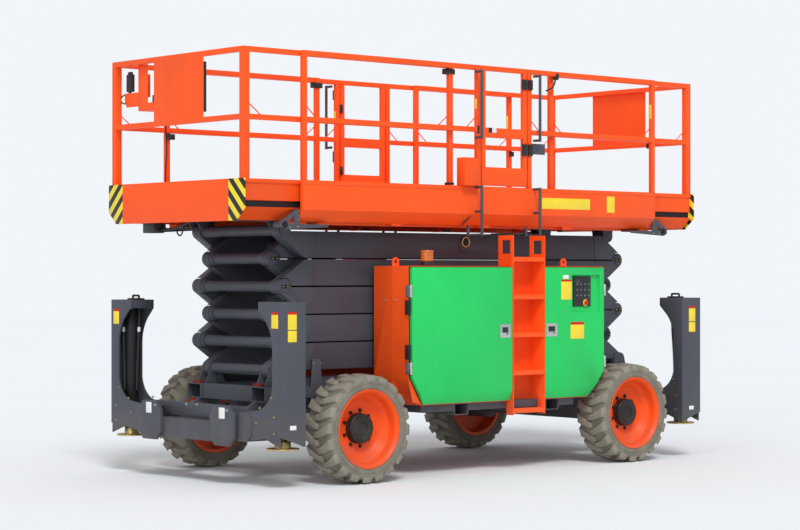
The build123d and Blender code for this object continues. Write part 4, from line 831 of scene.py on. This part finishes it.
class SCISSORLIFT_OT_stack(LiftPiece):
    """Dress the scissor stack: bolts and keepers on the pin caps, pads, trays and rings"""

    bl_idname = "scissorlift.stack"
    bl_label = "Scissor stack"

    def make(self, values):
        for stage in range(1, STAGES):
            pin_z = ROW_0 + stage * ROW_PITCH
            lean = 1 if stage % 2 else -1
            for family, way, cap_y in (("outer", lean, 0.574), ("inner", -lean, 0.444)):
                pin_x = way * PIN_X
                heads = [facing_out(pin_x + step, cap_y + 0.004, pin_z, side)
                         for _, side in SIDES for step in (-0.021, 0.021)]
                keepers = [reflected(block(about(pin_x, 0.036), (cap_y - 0.001, cap_y + 0.0042),
                                           about(pin_z, 0.014), 0.0015), side)
                           for _, side in SIDES]
                body = f"{family}_arm_{stage}"
                dress(bolts(heads, 0.0085), f"pin_bolts_{family}_{stage}", "zinc plate", body)
                dress(keepers, f"pin_keepers_{family}_{stage}", "black paint", body)
        dress(pair((1.956, 1.997), (0.345, 0.44), (0.729, 0.754)), "slide_pads", "dark red pad")
        heads = [facing_out(1.56 + step, 0.594, z, side)
                 for _, side in SIDES for step in (-0.035, 0.035) for z in (0.665, 0.905)]
        heads += [facing_out(-PIN_X + step, 0.596, z, side)
                  for _, side in SIDES for step in (-0.07, 0.07) for z in (0.64, 0.7)]
        dress(bolts(heads, 0.0105), "guide_bolts", "zinc plate")
        # hose trays on the rails' outer edges, beside the sliders' path
        dress(pair((1.05, 1.72), (0.472, 0.505), (0.7295, 0.8)), "hose_trays", "grey paint")
        # brass ring round a dark boss on the top outer beams
        section = ((0.033, 0.576), (0.046, 0.576), (0.046, 0.5785), (0.043, 0.5805),
                   (0.036, 0.5805), (0.033, 0.5785))
        ring_x, ring_z = -0.029, 1.86
        rings = [reflected(spun(section, (ring_x, 0, ring_z)), side) for _, side in SIDES]
        bosses = [rod((ring_x, side * 0.5595, ring_z), "Y", side * 0.0173, 0.045, 48, 0.001)
                  for _, side in SIDES]
        dress(rings, "ram_rings", "zinc plate", f"outer_arm_{STAGES}")
        dress(bosses, "ring_bosses", "black paint", f"outer_arm_{STAGES}")


# Bolts on the plate between the legs and on the legs' cheeks, as (across, height)
BACK_PLATE_BOLTS = ((-0.593, 0.545), (-0.157, 0.581), (-0.017, 0.587), (0.372, 0.555))
CHEEK_BOLTS = ((1.008, 0.682), (0.866, 0.602), (1.038, 0.54), (0.826, 0.489), (1.038, 0.42))
FRONT_FACE = (LEG_CHEEK, LEG_CHEEK + PLATE_THICKNESS)
WEB_FACE = (LEG_WEB, LEG_WEB + PLATE_THICKNESS)
FLANGE_FACE = (LEG_FLANGE, LEG_FLANGE + PLATE_THICKNESS)
# Blank plates on a leg
LEG_PLATES = (
    ("yellow", FRONT_FACE, (1.005, 1.085), (1.194, 1.295)),
    ("red", FRONT_FACE, (1.005, 1.085), (1.296, 1.313)),
    ("yellow", (2.172, 2.255), WEB_FACE, (1.185, 1.297)),
    ("red", (2.172, 2.255), WEB_FACE, (1.298, 1.316)),
    ("yellow", (2.172, 2.255), WEB_FACE, (1.094, 1.178)),
    ("white", FLANGE_FACE, (0.446, 0.52), (0.506, 0.59)),
)
# A jack's two hoses, each by its head, its neck and its foot as (along, across)
HOSES = (((2.262, 1.034), (2.262, 1.028), (2.262, 1.012)),
         ((2.195, 0.9), (2.195, 0.905), (2.203, 0.922)))
JACK_X, JACK_Y = 2.215, 0.992
# The bent handle on a leg's head, as (across, height above the head)
HANDLE = ((0.886, 0.008), (0.882, 0.031), (0.895, 0.033), (0.96, 0.033), (0.973, 0.031),
          (0.969, 0.008))


def jack_hoses(end, side):
    """A jack's two hoses from its top down beside it, and a pale tag round each one's neck."""
    hoses, tags = [], []
    for route in HOSES:
        head, neck, foot = (Vector((end * x, side * y)) for x, y in route)
        jack = Vector((end * JACK_X, side * JACK_Y))
        stations = (((head + jack) / 2, BARREL_TOP - 0.016), (head, BARREL_TOP - 0.02),
                    (head, BARREL_TOP - 0.06), (neck, 1.16), (neck, 1.1),
                    ((neck + foot) / 2, 0.98), (foot, 0.8), (foot, 0.66))
        hoses.append(pipe([(*place, z) for place, z in stations], 0.01))
        tags.append(rod((*neck, 1.13), "Z", 0.038, 0.0125, 20))
    return hoses, tags


class SCISSORLIFT_OT_outriggers(LiftPiece):
    """Dress the outriggers: bolts, blank plates, hoses, cap fixtures and the plates between"""

    bl_idname = "scissorlift.outriggers"
    bl_label = "Outriggers"

    def make(self, values):
        cheek_bolts, back_bolts, flange_bolts = [], [], []
        backs, fixtures, heads, ears = [], [], [], []
        plates = {"yellow": [], "red": [], "white": []}
        hoses, tags = [], []
        for _, end in ENDS:
            backs.append(block((2.2405, 2.2585), (-0.635, 0.635), (0.492, 0.598), end=end))
            back_bolts += [facing_along(end * 2.2585, y, z, end) for y, z in BACK_PLATE_BOLTS]
            for _, side in SIDES:
                flange_y = 0.552 if side > 0 else -0.394
                flange_bolts.append(facing_along(end * LEG_FLANGE, flange_y, 0.571, end))
                for y, z in CHEEK_BOLTS:
                    cheek_bolts += [facing_along(end * LEG_CHEEK, side * y, z, end),
                                    facing_along(end * LEG_INNER_CHEEK, side * y, z, -end)]
                for tone, *spans in LEG_PLATES:
                    plates[tone].append(block(*spans, PLATE_EDGE, end, side))
                tag_z = 0.445 if end > 0 else 0.417
                plates["white"].append(block((2.176, 2.235), WEB_FACE, (tag_z, tag_z + 0.032),
                                             PLATE_EDGE, end, side))
                more_hoses, more_tags = jack_hoses(end, side)
                hoses += more_hoses
                tags += more_tags
                heads.append(block((2.1, 2.309), (0.8425, 0.852), (1.322, 1.3885), 0.002,
                                   end, side))
                fixtures.append(block((2.165, 2.255), (0.87, 0.985),
                                      (LEG_TOP - 0.001, LEG_TOP + 0.012), 0.0024, end, side))
                fixtures.append(pipe([(end * 2.21, side * y, LEG_TOP + rise)
                                      for y, rise in HANDLE], 0.0085))
                ears.append(block((2.3, 2.3195), (0.838, 0.886), (1.314, 1.386), 0.004,
                                  end, side))
        dress(bolts(cheek_bolts, 0.0125), "outrigger_bolts", "zinc plate")
        dress(bolts(back_bolts + flange_bolts, 0.015), "back_plate_bolts", "bright steel")
        dress(backs, "back_plates", "grey paint")
        dress(plates["yellow"], "outrigger_yellow_plates", "yellow plate")
        dress(plates["red"], "outrigger_red_bands", "red plastic")
        dress(plates["white"], "outrigger_white_plates", "white plate")
        dress(tags, "hose_tags", "white paint")
        dress(fixtures, "leg_fixtures", "black paint")
        dress(heads, "leg_heads", "grey paint")
        dress(ears, "leg_ears", "grey paint")
        dress(hoses, "jack_hoses", "black rubber", angle=PIPE_ANGLE)


# Ends of a cabinet as (place along X, way out of the cabinet)
CABINET_ENDS = ((CABINET_HIGH[0], 1), (CABINET_LOW[0], -1))
LATCH_Z = (1.084, 1.192)
# Blank plates on the rear doors, as places along X and heights
DOOR_PLATES = (
    ("yellow", "yellow plate", (((-0.758, -0.634), (1.385, 1.534)),
                                ((-0.903, -0.745), (1.06, 1.176)))),
    ("red", "red plastic", (((-0.758, -0.634), (1.535, 1.551)),
                            ((-0.903, -0.745), (1.177, 1.199)))),
    ("white", "white plate", (((-0.722, -0.655), (1.557, 1.588)),)),
)


class SCISSORLIFT_OT_cabinets(LiftPiece):
    """Dress the cabinets: hinges, stops, latches, seals, blank plates and the ground controls"""

    bl_idname = "scissorlift.cabinets"
    bl_label = "Cabinets"

    def make(self, values):
        front = CABINET_HIGH[0]
        for hand, side in SIDES:
            # hinge barrels at the doors' far corners, on the cabinet's end walls
            hinges, heads = [], []
            for wall, ahead in CABINET_ENDS:
                for z in (0.863, 1.463):
                    hinges.append(rod((wall + ahead * 0.006, DOOR_FACE - 0.004, z - 0.048), "Z",
                                      0.096, 0.01, 20))
                    hinges.append(block((wall, wall + ahead * 0.005),
                                        (DOOR_FACE - 0.072, DOOR_FACE - 0.006),
                                        about(z, 0.046), 0.0012))
                    heads += [facing_along(wall + ahead * 0.0045, DOOR_FACE - 0.045, z + lift,
                                           ahead) for lift in (-0.03, 0.03)]
            self.place(hinges, hand, side, "door_hinges", "bright steel")
            self.place(bolts(heads, 0.0075), hand, side, "hinge_bolts", "zinc plate")
            stops = [block((wall - ahead * 0.002, wall + ahead * 0.016), (1.013, 1.066),
                           (z, z + 0.115), 0.004)
                     for wall, ahead in CABINET_ENDS for z in (0.93, 1.279)]
            self.place(stops, hand, side, "door_stops", "black rubber")
            studs = [rod((front - 0.001, y, 1.392), "X", 0.01, 0.0085, 20) for y in (0.759, 0.879)]
            self.place(studs, hand, side, "cabinet_studs", "bright steel")
            self.latch(hand, side, "front", (-0.052, 0.06))
            self.latch(hand, side, "rear", (-0.585, -0.462))
            for tone, material, corners in DOOR_PLATES:
                parts = [block(x, (DOOR_FACE, DOOR_FACE + 0.0012), z, THIN_EDGE)
                         for x, z in corners]
                self.place(parts, hand, side, f"door_plates_{tone}", material, f"door_rear_{hand}")
            # rubber seals along the gutters
            seal_z = (CABINET_HIGH[2] - 0.075, CABINET_HIGH[2] - 0.066)
            seals = [block(x, (DOOR_FACE - 0.037, DOOR_FACE - 0.034), seal_z, 0.001)
                     for x in ((-0.07, 0.99), (-1.14, -0.46))]
            self.place(seals, hand, side, "door_seals", "black rubber")
        self.controls()

    def place(self, parts, hand, side, name, material, body="chassis"):
        """Mirrors pieces made on the left to their side and finishes them."""
        dress(reflected(join(parts), side), f"{name}_{hand}", material, body)

    def latch(self, hand, side, name, x):
        """A door's latch: a bright plate with a dark paddle sunk in its middle."""
        rim = block(x, (DOOR_FACE - 0.002, DOOR_FACE + 0.0035), LATCH_Z, 0.0016)
        edit_all()
        bpy.ops.mesh.select_all(action="DESELECT")
        bpy.ops.object.mode_set(mode="OBJECT")
        for polygon in rim.data.polygons:
            polygon.select = polygon.normal.y > 0.99 and polygon.area > 0.004
        bpy.ops.object.mode_set(mode="EDIT")
        bpy.ops.mesh.select_mode(type="FACE")
        bpy.ops.mesh.inset(thickness=0.018)
        bpy.ops.mesh.extrude_region_move(TRANSFORM_OT_translate={"value": (0, -0.003, 0)})
        bpy.ops.object.mode_set(mode="OBJECT")
        body = f"door_{name}_{hand}"
        self.place(rim, hand, side, f"latch_plate_{name}", "bright steel", body)
        paddle = [block((x[0] + 0.024, x[1] - 0.024), (DOOR_FACE - 0.001, DOOR_FACE + 0.003),
                        (LATCH_Z[0] + 0.04, LATCH_Z[1] - 0.024), 0.002),
                  rod((x[0] + 0.036, DOOR_FACE - 0.001, LATCH_Z[0] + 0.03), "Y", 0.0042,
                      0.007, 20)]
        self.place(paddle, hand, side, f"latch_paddle_{name}", "black plastic", body)

    def controls(self):
        """The ground controls in the recess of the left rear door."""
        body = "door_rear_left"
        depth = DOOR_FACE - 0.026
        face = depth + 0.009
        panel = block((-1.002, -0.793), (depth - 0.001, depth + 0.01), (1.327, 1.578), 0.004)
        dress(panel, "ground_panel", "black plastic", body)
        screen = block((-0.868, -0.815), (face, depth + 0.0118), (1.52, 1.556), 0.0015)
        dress(screen, "ground_gauge", "dark glass", body)
        keys, marks = [], []
        for column in range(4):
            for row in range(3):
                x, z = -0.972 + 0.045 * column, 1.512 - 0.047 * row
                keys.append(rod((x, face, z), "Y", 0.0045, 0.0125))
                marks.append(block(about(x, 0.006), (depth + 0.013, depth + 0.0142),
                                   about(z, 0.0025), 0.0004))
        dress(keys, "ground_keys", "grey plastic", body)
        dress(marks, "ground_key_marks", "galvanised", body)
        x, z = -0.936, 1.357
        stop = [rod((x, face, z), "Y", 0.009, 0.012),
                rod((x, depth + 0.017, z), "Y", 0.0075, 0.021, 28, 0.003)]
        dress(stop, "ground_stop_button", "red plastic", body)
        dress(rod((x, face, z), "Y", 0.004, 0.028, 28), "ground_stop_collar", "yellow plate", body)


class SCISSORLIFT_OT_ladders(LiftPiece):
    """Dress the ladders: gripping beads on the steps and their bolts"""

    bl_idname = "scissorlift.ladders"
    bl_label = "Ladder treads"

    def make(self, values):
        beads, heads = [], []
        for _, side in SIDES:
            for step in range(LADDER_STEPS):
                z = 0.487 + step * STEP_PITCH
                inner = 0.93 if step else 1.015
                for row in range(3):
                    y = inner + 0.02 + row * (LADDER_HIGH[1] - inner - 0.04) / 2
                    beads.append(rod((-0.43, side * y, z + 0.0175), "X", 0.33, 0.0035, 8, 0.0005))
                heads += [facing_along(x, side * (LADDER_HIGH[1] - 0.035), z, ahead)
                          for x, ahead in ((LADDER_LOW[0], -1), (LADDER_HIGH[0], 1))]
        dress(beads, "ladder_beads", "orange paint", angle=50)
        dress(bolts(heads, 0.006), "ladder_bolts", "zinc plate")


class SCISSORLIFT_OT_beacon(LiftPiece):
    """Make the beacon: a black foot, a ribbed amber lens and its cap"""

    bl_idname = "scissorlift.beacon"
    bl_label = "Beacon"

    def make(self, values):
        middle = [(low + high) / 2 for low, high in zip(BEACON_LOW, BEACON_HIGH)]
        middle[2] = 0
        low, high = BEACON_LOW[2], BEACON_HIGH[2]
        foot = ((0.0005, low), (0.056, low), (0.056, low + 0.01), (0.05, low + 0.016),
                (0.049, low + 0.032), (0.045, low + 0.036), (0.0005, low + 0.036))
        dress(spun(foot, middle, (0, 0, 1)), "beacon_foot", "black plastic")
        lens = ((0.0005, low + 0.035), (0.044, low + 0.035), (0.05, low + 0.042),
                (0.05, high - 0.018), (0.053, high - 0.016), (0.053, high - 0.008),
                (0.048, high - 0.0015), (0.0005, high - 0.0005))
        dress(spun(lens, middle, (0, 0, 1)), "beacon_lens", "amber lens", replaces=("beacon",))


# The skirt's thin plates and lips, as places along X, across and up
SKIRT_PLATES = (((-1.146, -0.575), (0.915, 0.9162), (2.137, 2.228)),
                ((-1.447, -1.352), (0.915, 0.9162), (2.12, 2.257)))
SKIRT_LIPS = (((-1.955, -0.47), (0.914, 0.918), (2.272, 2.304)),
              ((0.17, 1.945), (0.914, 0.918), (2.272, 2.304)))
BRACKET_BOLTS = ((2.052, 1.948), (1.975, 1.952))
BRACKET_SCREWS = ((1.972, 2.065), (1.972, 2.035), (1.972, 2.005), (1.995, 2.055))


class SCISSORLIFT_OT_deck(LiftPiece):
    """Dress the decks: chequer plate, bracket bolts, roller caps, blank plates and the loom"""

    bl_idname = "scissorlift.deck"
    bl_label = "Decks"

    def make(self, values):
        for name, x in (("front", (0.384, 2.472)), ("rear", (-0.724, -2.472))):
            top = SLIDE_FLOOR[name]
            sheet = block(x, (-0.822, 0.822), (top - 0.0005, top + 0.0022), 0.0008)
            dress(sheet, f"deck_plate_{name}", "deck plate", f"{name}_extension")
        floor = [block((-1.955, 1.945), (-0.752, 0.752), (2.2448, 2.2478), 0.0008),
                 block((-0.695, 0.355), (-0.9, 0.9), (2.2447, 2.2474), 0.0008)]
        dress(floor, "deck_plate_main", "deck plate", "platform")
        corners = [(end, side) for _, end in ENDS for _, side in SIDES]
        rollers = [rod((end * 2.1, side * 0.881, 1.967), "Y", side * 0.009, 0.026, 32, 0.003)
                   for end, side in corners]
        dress(rollers, "roller_caps", "black paint", "platform")
        for name, places, radius in (("bracket_bolts", BRACKET_BOLTS, 0.009),
                                     ("bracket_screws", BRACKET_SCREWS, 0.006)):
            heads = [facing_out(end * x, 0.882, z, side) for end, side in corners
                     for x, z in places]
            dress(bolts(heads, radius), name, "zinc plate", "platform")
        for hand, side in SIDES:
            blanks = [block(*spans, THIN_EDGE, side=side) for spans in SKIRT_PLATES]
            dress(blanks, f"skirt_plates_{hand}", "yellow plate", "platform")
            lips = [block(*spans, THIN_EDGE, side=side) for spans in SKIRT_LIPS]
            dress(lips, f"skirt_lips_{hand}", "orange paint", "platform")
            strap = bar((0.216, side * 0.899, 2.066), (0.271, side * 0.856, 1.992), 0.0055, 12)
            dress(strap, f"skirt_strap_{hand}", "black rubber", "platform")
        # loom with its cable block below the sliding deck's front
        loom = [pipe([(2.4, -0.31, 1.94), (2.405, -0.22, 1.94), (2.43, -0.05, 1.955),
                      (2.45, 0.08, 1.972), (2.455, 0.17, 2.0)], 0.01),
                pipe([(2.42, 0.03, 1.96), (2.42, 0.02, 1.915), (2.42, -0.02, 1.885),
                      (2.42, -0.06, 1.915), (2.42, -0.07, 1.955)], 0.006)]
        dress(loom, "front_loom", "black rubber", "front_extension", angle=PIPE_ANGLE)
        case = block((2.365, 2.468), (-0.455, -0.302), (1.916, 2.03), 0.008)
        dress(case, "loom_block", "black plastic", "front_extension")


# Braces on the main rails, as (place of the post, reach along the rail)
RAIL_BRACES = ((1.91, -0.1), (0.158, 0.1), (-0.458, -0.1), (-1.92, 0.11))


def rail_brace(x, y, reach):
    """A thin round brace across the corner between the middle rail and its post."""
    return bar((x, y, 2.868), (x + reach, y, 2.779), 0.0045, 10, 0.0008)


# Gate fittings: name, whether the gate carries it, material, distances from the hinge,
# heights, thickness and edge
GATE_HINGES = ((3.111, 3.195), (2.567, 2.663))
GATE_LATCH = ((2.743, 2.783),)
GATE_FITTINGS = (
    ("hinge_posts", False, "black plastic", (-0.056, -0.008), GATE_HINGES, 0.012, 0.003),
    ("hinge_leaves", True, "black plastic", (0.006, 0.064), GATE_HINGES, 0.012, 0.003),
    ("gate_latch", True, "white paint", (0.351, 0.398), GATE_LATCH, 0.0028, 0.001),
    ("gate_catch", True, "black plastic", (0.4, 0.436), GATE_LATCH, 0.0032, 0.001),
    ("catch_slot", False, "black plastic", (0.538, 0.562), ((2.729, 2.795),), 0.0024, 0.001),
)


class SCISSORLIFT_OT_rails(LiftPiece):
    """Dress the guard rails: braces, stops, pins, tags, gate hinges and latches"""

    bl_idname = "scissorlift.rails"
    bl_label = "Guard rail fittings"

    def make(self, values):
        for hand, side in SIDES:
            braces = [rail_brace(x, side * 0.895, reach)
                      for x, reach in RAIL_BRACES]
            dress(braces, f"rail_braces_{hand}", "orange paint", "platform", angle=PIPE_ANGLE)
            stops = [block(x, (0.84, 0.8765), (2.69, 2.735), 0.004, side=side)
                     for x in ((1.885, 1.944), (-1.955, -1.925)) if side < 0 or x[0] < 0]
            dress(stops, f"rail_stops_{hand}", "black plastic", "platform")
            pins = [facing_out(x, POST_FACE, z, side) for x in (1.93, 0.138, -0.438, -1.94)
                    for z in (2.36, 2.42, RAILS_TOP - 0.03)]
            dress(bolts(pins, 0.0065), f"rail_pins_{hand}", "zinc plate", "platform")
            tags = [block(x, (0.885, 0.908), z, THIN_EDGE, side=side)
                    for x, z in (((0.1575, 0.1592), (2.93, 3.01)),
                                 ((-1.9205, -1.9188), (2.945, 3.068)))]
            dress(tags, f"post_tags_{hand}", "yellow plate", "platform")
        self.slides()
        self.gates()
        self.fittings()

    def slides(self):
        """Corner pins, braces and blocks on the sliding decks' rails."""
        for name, end in ENDS:
            body = f"{name}_extension"
            inner_x, inner_reach = (0.42, 0.11) if end > 0 else (-0.76, -0.11)
            braces, pins, blocks = [], [], []
            for _, side in SIDES:
                braces.append(rail_brace(end * 2.418, side * SLIDE_POST_Y, -end * 0.115))
                braces.append(rail_brace(inner_x, side * SLIDE_POST_Y, inner_reach))
                pins += [facing_out(end * 2.448, 0.868, z, side)
                         for z in (2.36, 2.763, RAILS_TOP - 0.03)]
                if end > 0:
                    blocks += [block(x, (0.816, 0.869), z, 0.004, side=side)
                               for x, z in (((0.358, 0.455), (3.195, 3.239)),
                                            ((0.368, 0.428), (2.31, 2.33)))]
            dress(braces, f"slide_braces_{name}", "orange paint", body, angle=PIPE_ANGLE)
            dress(bolts(pins, 0.0065), f"slide_pins_{name}", "zinc plate", body)
            if blocks:
                dress(blocks, f"slide_blocks_{name}", "black plastic", body)

    def gates(self):
        """Hinges with their black blocks, and a latch with its white plate on each gate."""
        for hand, side, hinge_x, way in (("left", 1, -0.404, 1), ("right", -1, 0.104, -1)):
            for name, on_gate, material, reach, heights, thick, edge in GATE_FITTINGS:
                x = [hinge_x + way * distance for distance in reach]
                parts = [block(x, (POST_FACE - 0.001, POST_FACE + thick), z, edge, side=side)
                         for z in heights]
                dress(parts, f"{name}_{hand}", material, f"gate_{hand}" if on_gate else "platform")
            knuckles = [rod((hinge_x, side * 0.875, z), "Z", 0.07, 0.0145, 20)
                        for z in (2.46, 3.0)]
            dress(knuckles, f"gate_hinges_{hand}", "black plastic", "platform")

    def fittings(self):
        """The conduit, the bolted plate and the socket's rivets, and the rear panel's plate."""
        conduit = [block((-0.772, -0.735), (0.884, 0.918), (3.216, 3.268), 0.004),
                   pipe([(-0.745, 0.902, 3.22), (-0.738, 0.902, 3.185), (-0.713, 0.902, 3.15),
                         (-0.672, 0.902, 3.128), (-0.635, 0.902, 3.118)], 0.007)]
        dress(conduit, "rail_conduit", "black rubber", "platform", angle=PIPE_ANGLE)
        mount = block((-0.615, -0.457), (0.9005, 0.9125), (2.584, 2.673), 0.004)
        dress(mount, "rail_plate", "grey paint", "platform")
        screws = [facing_out(x, 0.9125, z) for x in (-0.6, -0.51) for z in (2.6, 2.657)]
        dress(bolts(screws, 0.006), "rail_plate_screws", "zinc plate", "platform")
        for name, material, z in (("rear_panel_plate", "yellow plate", (2.885, 3.234)),
                                  ("rear_panel_band", "red plastic", (2.857, 2.884))):
            sign = block((-2.4785, -2.4768), (-0.012, 0.181), z, THIN_EDGE)
            dress(sign, name, material, "rear_extension")
        rivets = [facing_out(x, 0.975, z) for x in (0.322, 0.262) for z in (2.481, 2.393)]
        dress(bolts(rivets, 0.004), "socket_rivets", "zinc plate", "platform")


class SCISSORLIFT_OT_controls(LiftPiece):
    """Dress the platform controls: stop button, stick, keys, wing and handset"""

    bl_idname = "scissorlift.controls"
    bl_label = "Platform controls"

    def make(self, values):
        body = "front_extension"
        top = CONTROL_BOX_TOP
        x, stop_y, stick_y = CONTROL_FRONT - 0.08, -0.235, -0.35
        dress(rod((x, stop_y, top - 0.001), "Z", 0.009, 0.028, 28), "stop_collar",
              "yellow plate", body)
        stop = [rod((x, stop_y, top + 0.007), "Z", 0.015, 0.012),
                rod((x, stop_y, top + 0.021), "Z", 0.015, 0.021, 28, 0.004)]
        dress(stop, "stop_button", "red plastic", body)
        boot = ((0.0005, 0), (0.022, 0), (0.02, 0.01), (0.012, 0.018), (0.006, 0.024),
                (0.006, 0.06), (0.0005, 0.06))
        stick = [spun(boot, (x, stick_y, top), (0, 0, 1), 32),
                 rod((x, stick_y, top + 0.055), "Z", 0.07, 0.014, edge=0.005)]
        dress(stick, "drive_stick", "black rubber", body)
        keys = [rod((x - 0.035 + 0.03 * row, -0.285 + 0.03 * column, top - 0.001), "Z", 0.005,
                    0.009, 16)
                for row in range(3) for column in range(2) if (row, column) != (1, 1)]
        dress(keys, "drive_keys", "white paint", body)
        wing = plate(((-0.757, 2.96), (-0.73, 2.918), (-0.56, 2.918), (-0.56, 3.03),
                      (-0.757, 3.03)), "X", 2.428, 2.432, 0.001)
        dress(wing, "control_wing", "orange paint", body)
        handset = [block((2.4, 2.433), (-0.738, -0.66), (3.04, 3.18), 0.008),
                   block((2.406, 2.428), (-0.724, -0.674), (3.178, 3.2), 0.006),
                   block((2.414, 2.428), (-0.712, -0.686), (3.0, 3.042), 0.004)]
        dress(handset, "handset", "black plastic", body)
        lead = pipe([(2.421, -0.712, 3.03), (2.421, -0.735, 3.022), (2.421, -0.8, 3.02),
                     (2.421, -0.838, 2.985), (2.421, -0.8, 2.952), (2.421, -0.73, 2.95),
                     (2.427, -0.7, 2.95)], 0.0055)
        dress(lead, "handset_lead", "black rubber", body, angle=PIPE_ANGLE)


# The control cable's route, from its gland down to the sliding deck
CABLE_X = CONTROL_FRONT - 0.08
CABLE_Y = -0.3
CABLE_TOP = 2.856
CABLE_SWAY = (0, 0, 1, 1, 0, 0)
CABLE_RUN = (CABLE_TOP - 2.305) / 5
CABLE_LEAN = CABLE_RUN * math.tan(math.radians(8))
CABLE_DIAMETER = 0.012


class SCISSORLIFT_OT_cable(LiftPiece):
    """Make the control cable, which hangs from the control box to the sliding deck"""

    bl_idname = "scissorlift.cable"
    bl_label = "Control cable"

    def make(self, values):
        points = [(CABLE_X, CABLE_Y + sway * CABLE_LEAN, CABLE_TOP - index * CABLE_RUN)
                  for index, sway in enumerate(CABLE_SWAY)]
        made = hose_line(points, CABLE_DIAMETER / 2, 12)
        made.name = "control_cable_hanging"
        made.data.materials.append(MATERIALS["black rubber"])
        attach(made, "front_extension")
        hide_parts("control_cable")


FLOOR_SIZE = 120
PALE = (0.855, 0.885, 0.915)
SKY_LIGHT = (0.95, 0.97, 1.0, 1)
SKY_SEEN = (0.885, 0.915, 0.948, 1)
SKY_STRENGTH = 0.6
# columns: name, strength, spread in degrees, tilt and turn in degrees
SUNS = (("key sun", 1.7, 16, 42, 150), ("fill sun", 0.58, 40, 74, 118))
CAMERA_PLACE = (12.097, 13.666, 1.5965)
CAMERA_TURN = 138.93
CAMERA_LENS = 97.44
CAMERA_SHIFT = 0.01126


class SCISSORLIFT_OT_stage(LiftPiece):
    """Make the pale floor, the soft lights, the sky and the camera"""

    bl_idname = "scissorlift.stage"
    bl_label = "Stage"

    def make(self, values):
        clear_selection()
        bpy.ops.mesh.primitive_plane_add(size=FLOOR_SIZE, location=(0, 0, 0))
        floor = bpy.context.object
        floor.name = "floor"
        made = Finish("pale floor")
        made.colour(made.mottled(0.4, PALE, 0.992, 1.008))
        made.plain(Roughness=0.9, Specular_IOR_Level=0.1)
        floor.data.materials.append(made.material)
        self.sky()

        for name, strength, spread, tilt, turn in SUNS:
            sun = bpy.data.lights.new(name, "SUN")
            sun.energy = strength
            sun.angle = math.radians(spread)
            lamp = bpy.data.objects.new(name, sun)
            lamp.rotation_euler = (math.radians(tilt), 0, math.radians(turn))
            bpy.context.collection.objects.link(lamp)

        lens = bpy.data.cameras.new("camera")
        lens.lens = CAMERA_LENS
        lens.sensor_width = 36
        lens.shift_y = CAMERA_SHIFT
        lens.clip_end = 300
        camera = bpy.data.objects.new("camera", lens)
        camera.location = CAMERA_PLACE
        camera.rotation_euler = (math.radians(90), 0, math.radians(CAMERA_TURN))
        bpy.context.collection.objects.link(camera)
        bpy.context.scene.camera = camera
        bpy.context.scene.view_settings.view_transform = "Standard"

    def sky(self):
        """A world that lights the lift softly and shows a paler colour behind it."""
        world = bpy.data.worlds.new("pale studio")
        bpy.context.scene.world = world
        world.use_nodes = True
        tree = world.node_tree
        tree.nodes.clear()
        light = tree.nodes.new("ShaderNodeBackground")
        light.inputs["Color"].default_value = SKY_LIGHT
        light.inputs["Strength"].default_value = SKY_STRENGTH
        seen = tree.nodes.new("ShaderNodeBackground")
        seen.inputs["Color"].default_value = SKY_SEEN
        path = tree.nodes.new("ShaderNodeLightPath")
        both = tree.nodes.new("ShaderNodeMixShader")
        out = tree.nodes.new("ShaderNodeOutputWorld")
        tree.links.new(path.outputs["Is Camera Ray"], both.inputs[0])
        tree.links.new(light.outputs[0], both.inputs[1])
        tree.links.new(seen.outputs[0], both.inputs[2])
        tree.links.new(both.outputs[0], out.inputs["Surface"])


class SCISSORLIFT_PT_panel(bpy.types.Panel):
    """Lists the operators and the settings of the lift"""

    bl_label = "Scissor Lift"
    bl_idname = "SCISSORLIFT_PT_panel"
    bl_space_type = "VIEW_3D"
    bl_region_type = "UI"
    bl_category = "Scissor Lift"

    def draw(self, context):
        for name in ScissorLiftSettings.__annotations__:
            self.layout.prop(context.scene.scissor_lift, name)
        for operator in OPERATORS:
            self.layout.operator(operator.bl_idname)


OPERATORS = (
    SCISSORLIFT_OT_materials,
    SCISSORLIFT_OT_cable,
    SCISSORLIFT_OT_sheet_and_tube,
    SCISSORLIFT_OT_tyres,
    SCISSORLIFT_OT_rims,
    SCISSORLIFT_OT_stack,
    SCISSORLIFT_OT_outriggers,
    SCISSORLIFT_OT_cabinets,
    SCISSORLIFT_OT_ladders,
    SCISSORLIFT_OT_beacon,
    SCISSORLIFT_OT_deck,
    SCISSORLIFT_OT_rails,
    SCISSORLIFT_OT_controls,
    SCISSORLIFT_OT_stage,
)


def register():
    """Registers the settings, the operators and the panel."""
    bpy.utils.register_class(ScissorLiftSettings)
    bpy.types.Scene.scissor_lift = bpy.props.PointerProperty(type=ScissorLiftSettings)
    for operator in OPERATORS:
        bpy.utils.register_class(operator)
    bpy.utils.register_class(SCISSORLIFT_PT_panel)


def unregister():
    """Removes what register added."""
    bpy.utils.unregister_class(SCISSORLIFT_PT_panel)
    for operator in reversed(OPERATORS):
        bpy.utils.unregister_class(operator)
    del bpy.types.Scene.scissor_lift
    bpy.utils.unregister_class(ScissorLiftSettings)


def main():
    """Makes the whole lift and its stage."""
    register()
    for operator in OPERATORS:
        group, name = operator.bl_idname.split(".")
        getattr(getattr(bpy.ops, group), name)()
    if HEAD:
        discard(HEAD.pop("bolt"))


if __name__ == "__main__":
    main()
